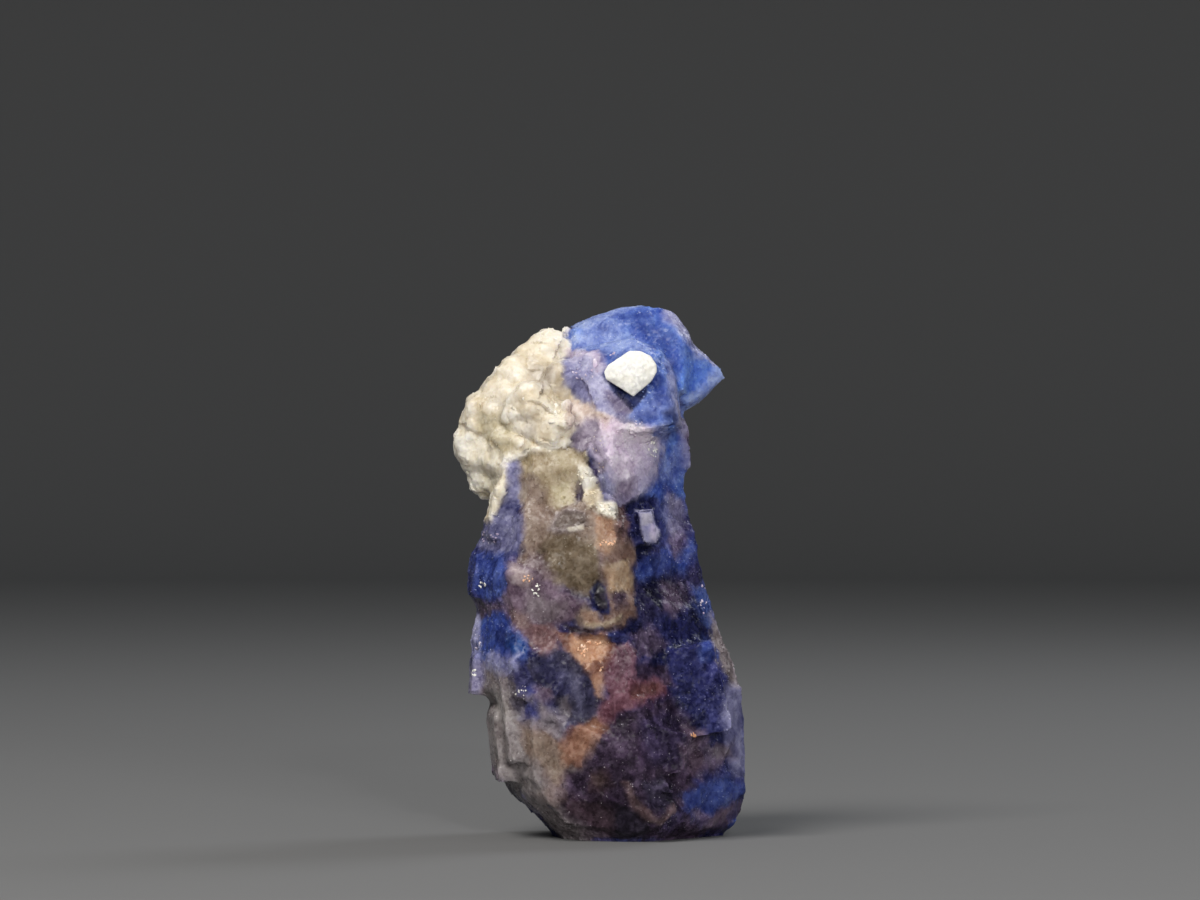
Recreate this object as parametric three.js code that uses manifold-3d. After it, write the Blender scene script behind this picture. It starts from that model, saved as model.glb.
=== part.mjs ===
// A rough carletonite crystal, one natural piece that stands on a small flat cleavage face.
// A deep blue fragment carries a slanting cap that ends in a beak, a pale granular mass grown into its
// upper left, a pale grain on its forehead, a glassy lens down its front and cleavage ledges all round.
// Millimetres, +Z up, the front faces -Y, and the origin is under the middle of the outer box.
import * as THREE from "three";
import { ConvexGeometry } from "three/addons/geometries/ConvexGeometry.js";
import { MeshSurfaceSampler } from "three/addons/math/MeshSurfaceSampler.js";
import { mergeVertices } from "three/addons/utils/BufferGeometryUtils.js";
import Module from "manifold-3d";

const wasm = await Module();
wasm.setup();

// Driving dimensions. Every place below is written for these, and a new size scales them all.
const HEIGHT = 20;
const DRAWN_HEIGHT = 20;
const SCALE = HEIGHT / DRAWN_HEIGHT;

// The fragment's outline, from its flat foot up: height, left, right, front and back of each section.
const SECTIONS = [
  [0.0, -1.7, 4.6, -2.8, 3.1],
  [0.4, -2.1, 5.1, -3.3, 3.5],
  [0.9, -2.6, 5.4, -3.7, 3.8],
  [1.7, -3.4, 5.5, -4.0, 4.0],
  [2.6, -3.9, 5.55, -4.2, 4.1],
  [4.0, -3.95, 5.5, -4.25, 4.2],
  [5.2, -4.15, 5.4, -4.2, 4.15],
  [5.5, -4.75, 5.35, -4.15, 4.1],
  [6.6, -4.85, 5.05, -4.05, 4.05],
  [7.6, -4.85, 4.65, -3.95, 4.0],
  [8.4, -4.6, 4.3, -3.85, 3.9],
  [9.3, -4.95, 4.1, -3.75, 3.9],
  [9.8, -5.0, 3.9, -3.65, 3.8],
  [10.8, -4.75, 3.75, -3.45, 3.7],
  [11.9, -4.1, 3.45, -3.2, 3.6],
  [13.0, -3.9, 3.25, -3.0, 3.45],
  [14.1, -3.55, 3.2, -2.85, 3.35],
  [15.3, -3.1, 3.2, -2.6, 3.2],
  [16.0, -2.6, 3.1, -2.3, 3.1],
  [17.0, -1.85, 2.85, -1.8, 2.9],
  [17.9, -1.5, 2.7, -1.1, 2.6],
];

// A section's corners, from -1 to 1 across and from -1 at the front to 1 at the back. Its true corners are the
// right edge, the two at the back, the left edge, the one front left and the ridge down the front.
const CORNERS = [
  [1.0, 0.05],
  [0.83, 0.5],
  [0.6, 0.92],
  [0.0, 1.0],
  [-0.58, 0.95],
  [-0.86, 0.4],
  [-1.0, -0.1],
  [-0.86, -0.5],
  [-0.66, -0.86],
  [-0.25, -0.96],
  [0.16, -1.0],
  [0.6, -0.52],
];
const SIDEWAYS_JITTER = 0.22;
const HEIGHT_JITTER = 0.3;

// The cap, its beak and the forehead, as outlines seen from the front. Each point has its place across and up,
// and how far the slab reaches to the front and back of its middle depth there.
const CAP = {
  outline: [
    [-1.3, 19.1, 1.0],
    [-0.15, 19.6, 0.9],
    [0.85, 19.93, 0.7],
    [1.5, 20.0, 0.7],
    [2.2, 19.92, 0.7],
    [2.75, 19.72, 0.8],
    [3.15, 19.35, 0.8],
    [3.45, 18.85, 1.0],
    [3.6, 18.2, 1.1],
    [3.4, 16.4, 1.7],
    [0.0, 15.6, 2.1],
    [-1.3, 17.1, 1.7],
  ],
  depth: 0.75,
  bevel: 0.45,
};
const BEAK = {
  outline: [
    [3.2, 18.8, 0.9],
    [4.0, 18.02, 0.6],
    [4.45, 17.72, 0.35],
    [4.8, 17.25, 0.15],
    [4.5, 16.95, 0.3],
    [3.85, 16.45, 0.6],
    [3.3, 16.0, 0.9],
    [2.2, 16.4, 1.2],
    [2.4, 18.5, 1.2],
  ],
  depth: 0.95,
  bevel: 0.3,
};
const FOREHEAD = {
  outline: [
    [-0.9, 18.3, 0.9],
    [1.2, 18.7, 0.8],
    [2.3, 18.3, 0.9],
    [2.8, 17.5, 1.1],
    [3.15, 15.3, 1.4],
    [1.5, 14.8, 1.6],
    [-0.4, 15.2, 1.5],
    [-1.2, 16.9, 1.2],
  ],
  depth: -1.0,
  bevel: 0.4,
};
const FOREHEAD_GRAIN = {
  outline: [
    [0.24, 17.45, 0.2],
    [0.85, 18.05, 0.3],
    [1.5, 18.2, 0.3],
    [2.08, 17.85, 0.3],
    [2.15, 17.35, 0.3],
    [1.7, 16.85, 0.3],
    [1.2, 16.6, 0.2],
    [0.65, 17.05, 0.2],
  ],
  depth: -2.15,
  bevel: 0.28,
};

// The pale granular mass: middle x, y, z and radius of its heart's lumps and of the lumps on its outside.
const PALE_HEART = [
  [-2.2, 0.3, 17.2, 1.45],
  [-3.2, 0.1, 15.9, 1.8],
  [-3.25, 0.2, 14.5, 1.75],
];
const PALE_LUMPS = [
  [-1.9, 0.1, 18.25, 0.82],
  [-3.05, -0.2, 17.1, 1.05],
  [-4.15, -0.2, 15.8, 1.05],
  [-4.55, 0.1, 14.65, 1.02],
  [-4.05, 0.3, 13.45, 0.95],
  [-2.5, -1.35, 15.9, 1.25],
  [-3.1, -1.1, 14.5, 1.2],
  [-1.3, -1.3, 17.1, 0.9],
  [-1.7, -1.9, 15.3, 0.95],
  [-2.9, 1.35, 16.4, 1.1],
  [-3.7, 1.2, 14.9, 1.05],
  [-1.9, 1.2, 17.5, 0.85],
];
const GRAINS_PER_LUMP = 4;
const GRAIN_RADIUS = [0.24, 0.42];

// A crust of pale flakes runs down the front from the mass: its line, and how many flakes it has.
const FLAKE_LINE = [
  [-1.5, -2.35, 16.5],
  [-0.9, -2.75, 15.4],
  [-0.3, -2.95, 14.3],
  [0.2, -3.05, 13.0],
  [0.45, -3.3, 11.9],
  [0.3, -3.45, 10.9],
];
const FLAKE_COUNT = 16;
const FLAKE_RADIUS = [0.2, 0.34];

// The glassy lens whose lower edge makes a curved ledge across the front.
const LENS = { centre: [-0.35, -2.45, 10.3], radii: [1.85, 1.3, 2.75], points: 46 };

// Ledges and small crystals that show in the outline or on the front: middle, size and turn in degrees.
const LEDGES = [
  { centre: [-4.45, -0.6, 6.1], size: [0.8, 1.2, 1.5], turn: 3 },
  { centre: [2.7, 0.9, 14.75], size: [1.2, 1.5, 1.95], turn: -4 },
  { centre: [1.68, -2.85, 11.65], size: [0.8, 0.7, 1.4], turn: -6 },
  { centre: [-3.45, -1.3, 12.6], size: [1.1, 1.7, 2.9], turn: 14 },
  { centre: [-4.2, -0.5, 9.8], size: [1.3, 1.9, 1.6], turn: 8 },
  { centre: [-3.5, -1.2, 3.5], size: [1.0, 2.4, 2.6], turn: -4 },
  { centre: [-2.9, -2.4, 4.6], size: [1.5, 1.7, 3.2], turn: -7 },
  { centre: [0.5, -3.35, 6.6], size: [1.3, 1.2, 1.6], turn: 38 },
  { centre: [3.6, -1.9, 5.6], size: [1.9, 1.7, 3.4], turn: -12 },
  { centre: [2.1, -2.9, 3.2], size: [2.1, 1.9, 2.3], turn: 16 },
  { centre: [2.9, 2.4, 6.5], size: [2.2, 2.2, 3.6], turn: -10 },
  { centre: [-2.6, 2.3, 8.6], size: [2.6, 2.2, 3.1], turn: 6 },
  { centre: [0.4, 3.0, 3.6], size: [2.6, 1.8, 2.9], turn: -9 },
  { centre: [0.7, 2.6, 12.6], size: [2.4, 1.7, 3.3], turn: 12 },
];

// Cleavage broke flat steps out of the blue crystal. They share the crystal's own axes, give or take a little.
const CRYSTAL_AXES = new THREE.Euler(...[4, -9, 27].map(THREE.MathUtils.degToRad));
const AXES_WANDER = 4;
const STEP_COUNT = 76;
const STEP_WIDTH = [0.9, 2.6];
const STEP_DEPTH = [0.04, 0.16];
const DEEPEST_STEP = 0.26;

// Fracture left uneven facets that lie nearly along the surface.
const FACET_COUNT = 40;
const FACET_WIDTH = [1.8, 3.6];
const FACET_DEPTH = [0.08, 0.2];
const FACET_TILT = 0.22;
const CUT_REACH = 0.7;

// Cuts are smaller where the surface turns away from the front and back, so that the outline keeps its shape.
const TURNED_AWAY = 0.75;
const OUTLINE_SHARE = 0.4;

// Small cleavage blocks that the fracture left standing.
const BLOCK_COUNT = 44;
const BLOCK_WIDTH = [0.4, 1.1];
const BLOCK_PROUD = [0.05, 0.16];

// Cuts and blocks stay clear of the foot and of what looks down at it.
const FOOT_CLEAR = 1.3;
const STEEPEST_DOWN = -0.3;
const FLOOR_CUT = 4;

const SEED = 41;

// Repeatable random numbers from 0 to 1.
function randomFrom(seed) {
  let state = seed;
  return () => {
    state = (state + 0x6d2b79f5) | 0;
    let mixed = Math.imul(state ^ (state >>> 15), 1 | state);
    mixed = (mixed + Math.imul(mixed ^ (mixed >>> 7), 61 | mixed)) ^ mixed;
    return ((mixed ^ (mixed >>> 14)) >>> 0) / 4294967296;
  };
}

const random = randomFrom(SEED);
const between = ([low, high]) => low + (high - low) * random();
const either = (amount) => amount * (2 * random() - 1);

// A closed geometry as a manifold-3d solid, with its shared vertices merged.
function solidFrom(geometry) {
  const bare = new THREE.BufferGeometry().setAttribute("position", geometry.getAttribute("position"));
  if (geometry.index) bare.setIndex(geometry.index);
  const merged = mergeVertices(bare, 1e-4);
  return new wasm.Manifold(
    new wasm.Mesh({
      numProp: 3,
      vertProperties: merged.attributes.position.array,
      triVerts: new Uint32Array(merged.index.array),
    }),
  );
}

const hull = (points) => solidFrom(new ConvexGeometry(points));

// A corner's place on a section.
function cornerOn([z, left, right, front, back], [across, deep]) {
  return new THREE.Vector3(
    (left + right) / 2 + (across * (right - left)) / 2,
    (front + back) / 2 + (deep * (back - front)) / 2,
    z,
  );
}

// The fragment's own body: its sections joined by flat triangles, with the corners broken unevenly.
function body() {
  const last = SECTIONS.length - 1;
  const points = SECTIONS.flatMap((section, row) =>
    CORNERS.map((corner) => {
      const point = cornerOn(section, corner);
      const inside = 1 - Math.abs(corner[0]);
      point.x += either(SIDEWAYS_JITTER) * inside;
      point.y += either(SIDEWAYS_JITTER);
      if (row > 0 && row < last) point.z += either(HEIGHT_JITTER) * Math.min(1, 3 * inside);
      return point;
    }),
  );
  const around = CORNERS.length;
  const faces = [];
  for (let row = 0; row < last; row++) {
    for (let i = 0; i < around; i++) {
      const a = row * around + i;
      const b = row * around + ((i + 1) % around);
      if (random() < 0.5) faces.push(a, b, b + around, a, b + around, a + around);
      else faces.push(a, b, a + around, b, b + around, a + around);
    }
  }
  const top = last * around;
  for (let i = 1; i < around - 1; i++) {
    faces.push(0, i + 1, i, top, top + i, top + i + 1);
  }
  const geometry = new THREE.BufferGeometry().setFromPoints(points);
  geometry.setIndex(faces);
  return solidFrom(geometry);
}

// A slab with its full outline at mid depth, bevelled towards its front and back.
function slab({ outline, depth, bevel }) {
  const middle = new THREE.Vector2();
  for (const [x, z] of outline) middle.add(new THREE.Vector2(x, z).divideScalar(outline.length));
  const points = outline.flatMap(([x, z, half]) => {
    const inset = new THREE.Vector2(x, z).sub(middle);
    inset.setLength(Math.max(inset.length() - bevel, 0.1)).add(middle);
    const rim = 0.35 * half;
    return [
      new THREE.Vector3(x, depth - rim, z),
      new THREE.Vector3(x, depth + rim, z),
      new THREE.Vector3(inset.x, depth - half, inset.y),
      new THREE.Vector3(inset.x, depth + half, inset.y),
    ];
  });
  return hull(points);
}

// An angular grain: the hull of points spread over an ellipsoid, each a little in or out.
function grain(centre, radii, count = 18, spread = 0.12) {
  const golden = Math.PI * (3 - Math.sqrt(5));
  const start = random() * Math.PI * 2;
  const tumble = new THREE.Euler(either(Math.PI), either(Math.PI), either(Math.PI));
  const points = Array.from({ length: count }, (_, i) => {
    const height = 1 - (2 * i + 1) / count;
    const ring = Math.sqrt(1 - height * height);
    const turn = start + golden * i + either(0.3);
    return new THREE.Vector3(ring * Math.cos(turn), ring * Math.sin(turn), height)
      .applyEuler(tumble)
      .multiplyScalar(1 + either(spread))
      .multiply(radii)
      .add(centre);
  });
  return hull(points);
}

const ball = (radius) => new THREE.Vector3(radius, radius, radius);

// A cleavage block: a box on the given axes, with some of its corners chipped off.
function block(centre, half, axes) {
  const points = [];
  for (const x of [-1, 1]) {
    for (const y of [-1, 1]) {
      for (const z of [-1, 1]) {
        const chip = random() < 0.5 ? between([0.2, 0.6]) : 0;
        const corner = new THREE.Vector3(x, y, z);
        const cuts = chip ? ["x", "y", "z"] : ["x"];
        for (const along of cuts) {
          const point = corner.clone();
          point[along] *= 1 - chip;
          points.push(point.multiply(half).applyEuler(axes).add(centre));
        }
      }
    }
  }
  return hull(points);
}

// Points spread evenly over a solid, each with the way out of it there. The foot and its underside get none.
function surfaceOf(solid, count) {
  const { vertProperties, triVerts } = solid.getMesh();
  const geometry = new THREE.BufferGeometry();
  geometry.setAttribute("position", new THREE.BufferAttribute(vertProperties, 3));
  geometry.setIndex(new THREE.BufferAttribute(triVerts, 1));
  const sampler = new MeshSurfaceSampler(new THREE.Mesh(geometry)).setRandomGenerator(random).build();
  const found = [];
  while (found.length < count) {
    const point = new THREE.Vector3();
    const out = new THREE.Vector3();
    sampler.sample(point, out);
    if (point.z > FOOT_CLEAR && out.z > STEEPEST_DOWN) found.push({ point, out });
  }
  return found;
}

// The crystal's axes, turned a little.
function nearAxes() {
  const axes = CRYSTAL_AXES.clone();
  for (const along of ["x", "y", "z"]) axes[along] += THREE.MathUtils.degToRad(either(AXES_WANDER));
  return axes;
}

// Of the crystal's six axis directions, the one nearest to the way out.
function nearestAxis(axes, out) {
  const ways = [0, 1, 2].map((i) => new THREE.Vector3().setComponent(i, 1).applyEuler(axes));
  ways.sort((a, b) => Math.abs(b.dot(out)) - Math.abs(a.dot(out)));
  return ways[0].multiplyScalar(Math.sign(ways[0].dot(out)));
}

// A box that cuts the surface flat at a depth below a point, its inner face turned to a given way out.
function cutter(point, out, width, depth, roll) {
  const tall = depth + CUT_REACH;
  const box = new THREE.BoxGeometry(width, width * between([0.6, 1.4]), tall);
  box.translate(0, 0, tall / 2);
  box.rotateZ(roll);
  box.applyQuaternion(new THREE.Quaternion().setFromUnitVectors(new THREE.Vector3(0, 0, 1), out));
  box.translate(...point.clone().addScaledVector(out, -depth));
  return solidFrom(box);
}

const shareAt = (out) => (Math.abs(out.y) < TURNED_AWAY ? OUTLINE_SHARE : 1);

function cleavageSteps(solid) {
  return surfaceOf(solid, STEP_COUNT).map(({ point, out }) => {
    const face = nearestAxis(nearAxes(), out);
    const slope = Math.tan(face.angleTo(out));
    const width = Math.min(between(STEP_WIDTH), (2 * DEEPEST_STEP) / Math.max(slope, 0.05));
    const share = shareAt(out);
    return cutter(point, face, share * width, share * between(STEP_DEPTH), CRYSTAL_AXES.z);
  });
}

function fractureFacets(solid) {
  return surfaceOf(solid, FACET_COUNT).map(({ point, out }) => {
    const tilt = new THREE.Vector3(either(FACET_TILT), either(FACET_TILT), either(FACET_TILT));
    const face = out.clone().add(tilt).normalize();
    const share = shareAt(out);
    return cutter(point, face, share * between(FACET_WIDTH), share * between(FACET_DEPTH), either(Math.PI));
  });
}

// How far a box reaches along a direction.
function reachAlong(half, axes, direction) {
  return ["x", "y", "z"].reduce((sum, along, i) => {
    const axis = new THREE.Vector3().setComponent(i, 1).applyEuler(axes);
    return sum + half[along] * Math.abs(axis.dot(direction));
  }, 0);
}

function standingBlocks(solid) {
  return surfaceOf(solid, BLOCK_COUNT).map(({ point, out }) => {
    const half = new THREE.Vector3(between(BLOCK_WIDTH), between(BLOCK_WIDTH), between(BLOCK_WIDTH) * 1.4);
    half.multiplyScalar(0.5);
    const axes = nearAxes();
    const inwards = between(BLOCK_PROUD) - reachAlong(half, axes, out);
    return block(point.addScaledVector(out, inwards), half, axes);
  });
}

function ledges() {
  return LEDGES.map(({ centre, size, turn }) => {
    const axes = new THREE.Euler(0.05, THREE.MathUtils.degToRad(turn), 0.15);
    return block(new THREE.Vector3(...centre), new THREE.Vector3(...size).multiplyScalar(0.5), axes);
  });
}

// The pale mass: a lumpy heart, angular lumps over it, and small grains on the outer side of each.
function paleMass() {
  const inside = new THREE.Vector3(0, 0.4, 15);
  const lumps = PALE_HEART.map(([x, y, z, radius]) => grain(new THREE.Vector3(x, y, z), ball(radius), 30, 0.04));
  for (const [x, y, z, radius] of PALE_LUMPS) {
    const centre = new THREE.Vector3(x, y, z);
    const outwards = centre.clone().sub(inside).normalize();
    lumps.push(grain(centre, ball(radius), 16, 0.07));
    for (let i = 0; i < GRAINS_PER_LUMP; i++) {
      const way = new THREE.Vector3(either(1), either(1), either(1)).addScaledVector(outwards, 0.9).normalize();
      const size = between(GRAIN_RADIUS);
      const place = centre.clone().addScaledVector(way, radius - size);
      lumps.push(grain(place, ball(size), 10, 0.15));
    }
  }
  return lumps;
}

function flakes() {
  const line = new THREE.CatmullRomCurve3(FLAKE_LINE.map((place) => new THREE.Vector3(...place)));
  return Array.from({ length: FLAKE_COUNT }, (_, i) => {
    const place = line.getPointAt(i / (FLAKE_COUNT - 1));
    place.x += either(0.3);
    place.z += either(0.15);
    const radii = new THREE.Vector3(between(FLAKE_RADIUS), between(FLAKE_RADIUS), between(FLAKE_RADIUS));
    return grain(place, radii, 11, 0.15);
  });
}

// Everything below the flat foot, to cut away.
function belowFloor() {
  const box = new THREE.BoxGeometry(4 * HEIGHT, 4 * HEIGHT, FLOOR_CUT);
  box.translate(0, 0, -FLOOR_CUT / 2);
  return solidFrom(box);
}

function crystal() {
  const { union } = wasm.Manifold;
  const lens = grain(new THREE.Vector3(...LENS.centre), new THREE.Vector3(...LENS.radii), LENS.points, 0.03);
  const rough = union([body(), ...ledges(), slab(CAP), slab(FOREHEAD)]);
  const faceted = rough.subtract(union(fractureFacets(rough)));
  const stepped = faceted.subtract(union(cleavageSteps(faceted)));
  const standing = union(standingBlocks(stepped)).intersect(rough); // none reaches past the uncut surface
  const blue = union([stepped, standing, slab(BEAK)]);
  const whole = union([blue, lens, slab(FOREHEAD_GRAIN), ...paleMass(), ...flakes()]).subtract(belowFloor());
  const bySize = whole.decompose().sort((a, b) => b.volume() - a.volume());
  return bySize[0]; // the cuts leave a few loose crumbs, which fall away
}

// A solid's faces as a geometry, moved so that the origin is under the middle of its box.
function geometryFrom(solid) {
  const { vertProperties, triVerts } = solid.getMesh();
  const geometry = new THREE.BufferGeometry();
  geometry.setAttribute("position", new THREE.BufferAttribute(vertProperties, 3));
  geometry.setIndex(new THREE.BufferAttribute(triVerts, 1));
  geometry.scale(SCALE, SCALE, SCALE);
  geometry.computeBoundingBox();
  const { min, max } = geometry.boundingBox;
  geometry.translate(-(min.x + max.x) / 2, -(min.y + max.y) / 2, -min.z);
  geometry.computeVertexNormals();
  return geometry;
}

const stone = new THREE.MeshStandardMaterial({ color: 0x2b2f7a, roughness: 0.35, metalness: 0, flatShading: true });
const mesh = new THREE.Mesh(geometryFrom(crystal()), stone);
mesh.name = "carletonite_crystal";

const group = new THREE.Group();
group.add(mesh);
export default group;
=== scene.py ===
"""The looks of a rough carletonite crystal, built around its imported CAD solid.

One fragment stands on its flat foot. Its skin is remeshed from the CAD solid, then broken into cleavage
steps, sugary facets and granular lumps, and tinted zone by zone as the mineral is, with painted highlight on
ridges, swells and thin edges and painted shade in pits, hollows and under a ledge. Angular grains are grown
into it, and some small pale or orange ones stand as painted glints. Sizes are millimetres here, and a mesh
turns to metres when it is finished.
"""

import logging
import math
from dataclasses import dataclass, field
from enum import Enum
from typing import Sequence

import bmesh
import bpy
import numpy as np
from mathutils import Euler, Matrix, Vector
from mathutils.bvhtree import BVHTree


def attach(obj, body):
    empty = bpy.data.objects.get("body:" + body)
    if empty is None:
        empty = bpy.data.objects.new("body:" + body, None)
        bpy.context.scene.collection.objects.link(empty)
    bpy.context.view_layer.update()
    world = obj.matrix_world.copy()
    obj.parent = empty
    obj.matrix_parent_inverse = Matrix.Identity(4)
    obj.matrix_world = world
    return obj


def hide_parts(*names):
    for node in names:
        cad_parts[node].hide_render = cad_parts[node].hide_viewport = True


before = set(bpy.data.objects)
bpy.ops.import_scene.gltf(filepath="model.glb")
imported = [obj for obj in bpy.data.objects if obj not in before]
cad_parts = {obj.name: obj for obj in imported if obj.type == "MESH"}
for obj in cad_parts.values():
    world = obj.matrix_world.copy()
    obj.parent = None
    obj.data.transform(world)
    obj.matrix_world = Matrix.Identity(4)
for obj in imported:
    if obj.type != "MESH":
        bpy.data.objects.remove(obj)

log = logging.getLogger("carletonite")

NODE = "carletonite_crystal"
BODY = "root"
MM = 0.001
SEED = 20
# The crystal's axes, as Euler angles in degrees.
AXES = (4.0, -9.0, 27.0)


class Tone(Enum):
    """The mineral's colours, in linear light, and the orange of its painted glints."""

    IVORY = (0.84, 0.78, 0.66)
    CREAM = (0.74, 0.65, 0.5)
    STRAW = (0.52, 0.45, 0.3)
    PEARL = (0.5, 0.46, 0.43)
    BLUSH = (0.62, 0.5, 0.46)
    KHAKI = (0.42, 0.34, 0.23)
    FAWN = (0.27, 0.2, 0.16)
    OLIVE = (0.13, 0.095, 0.058)
    TAN = (0.19, 0.12, 0.098)
    # Painted glint: the bright orange of glints inside the crystal.
    EMBER = (0.95, 0.56, 0.36)
    GOLD = (0.6, 0.35, 0.22)
    AMBER = (0.23, 0.11, 0.078)
    RUST = (0.135, 0.056, 0.077)
    UMBER = (0.052, 0.03, 0.038)
    MAUVE = (0.15, 0.1, 0.14)
    MILK = (0.88, 0.86, 0.8)
    LILAC = (0.64, 0.54, 0.68)
    # A lighter lilac: the flakes' own colour, and on the shoulder partly painted light.
    PETAL = (0.82, 0.7, 0.78)
    LAVENDER = (0.33, 0.32, 0.5)
    SMOKE = (0.2, 0.167, 0.175)
    SLATE = (0.036, 0.031, 0.06)
    SKY = (0.32, 0.39, 0.68)
    AZURE = (0.12, 0.24, 0.78)
    COBALT = (0.085, 0.15, 0.48)
    ROYAL = (0.042, 0.072, 0.29)
    TEAL = (0.018, 0.07, 0.24)
    INDIGO = (0.026, 0.028, 0.11)
    NAVY = (0.009, 0.01, 0.05)
    PLUM = (0.042, 0.026, 0.05)
    INK = (0.012, 0.009, 0.016)


class Break(Enum):
    """How the mineral breaks in a zone."""

    CLEAVED = 0
    SUGARY = 1
    LUMPY = 2
    GLASSY = 3


@dataclass(frozen=True)
class PhotoScale:
    """Where the photograph's pixels lie on the plane through the crystal's middle."""

    mm_per_pixel: float = 0.0376
    middle_column: float = 600.8
    foot_row: float = 836.0
    columns: int = 1200
    rows: int = 900

    def across(self, column: float) -> float:
        """Returns the place across, in mm, of a pixel column."""
        return (column - self.middle_column) * self.mm_per_pixel

    def up(self, row: float) -> float:
        """Returns the height, in mm, of a pixel row."""
        return (self.foot_row - row) * self.mm_per_pixel

    def column(self, across: float) -> float:
        """Returns the pixel column of a place across, in mm."""
        return self.middle_column + across / self.mm_per_pixel

    def row(self, up: float) -> float:
        """Returns the pixel row of a height, in mm."""
        return self.foot_row - up / self.mm_per_pixel


PHOTO = PhotoScale()


@dataclass(frozen=True)
class Zone:
    """One mineral zone: its outline as the photograph shows it, and what fills it.

    Attributes:
        tone: The colour that fills it.
        outline: Its corners, in the photograph's pixels.
        grain: How the mineral breaks there.
        share: How much of the colour under it the tone covers.
        soft: How far its border fades, in mm.
        reach: How far back it goes, in mm behind the middle.
        rise: How far it stands proud of the skin, in mm.
    """

    tone: Tone
    outline: tuple[tuple[float, float], ...]
    grain: Break = Break.CLEAVED
    share: float = 1.0
    soft: float = 0.12
    reach: float = 0.4
    rise: float = 0.0


CLEAVED, SUGARY, LUMPY, GLASSY = Break

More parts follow.
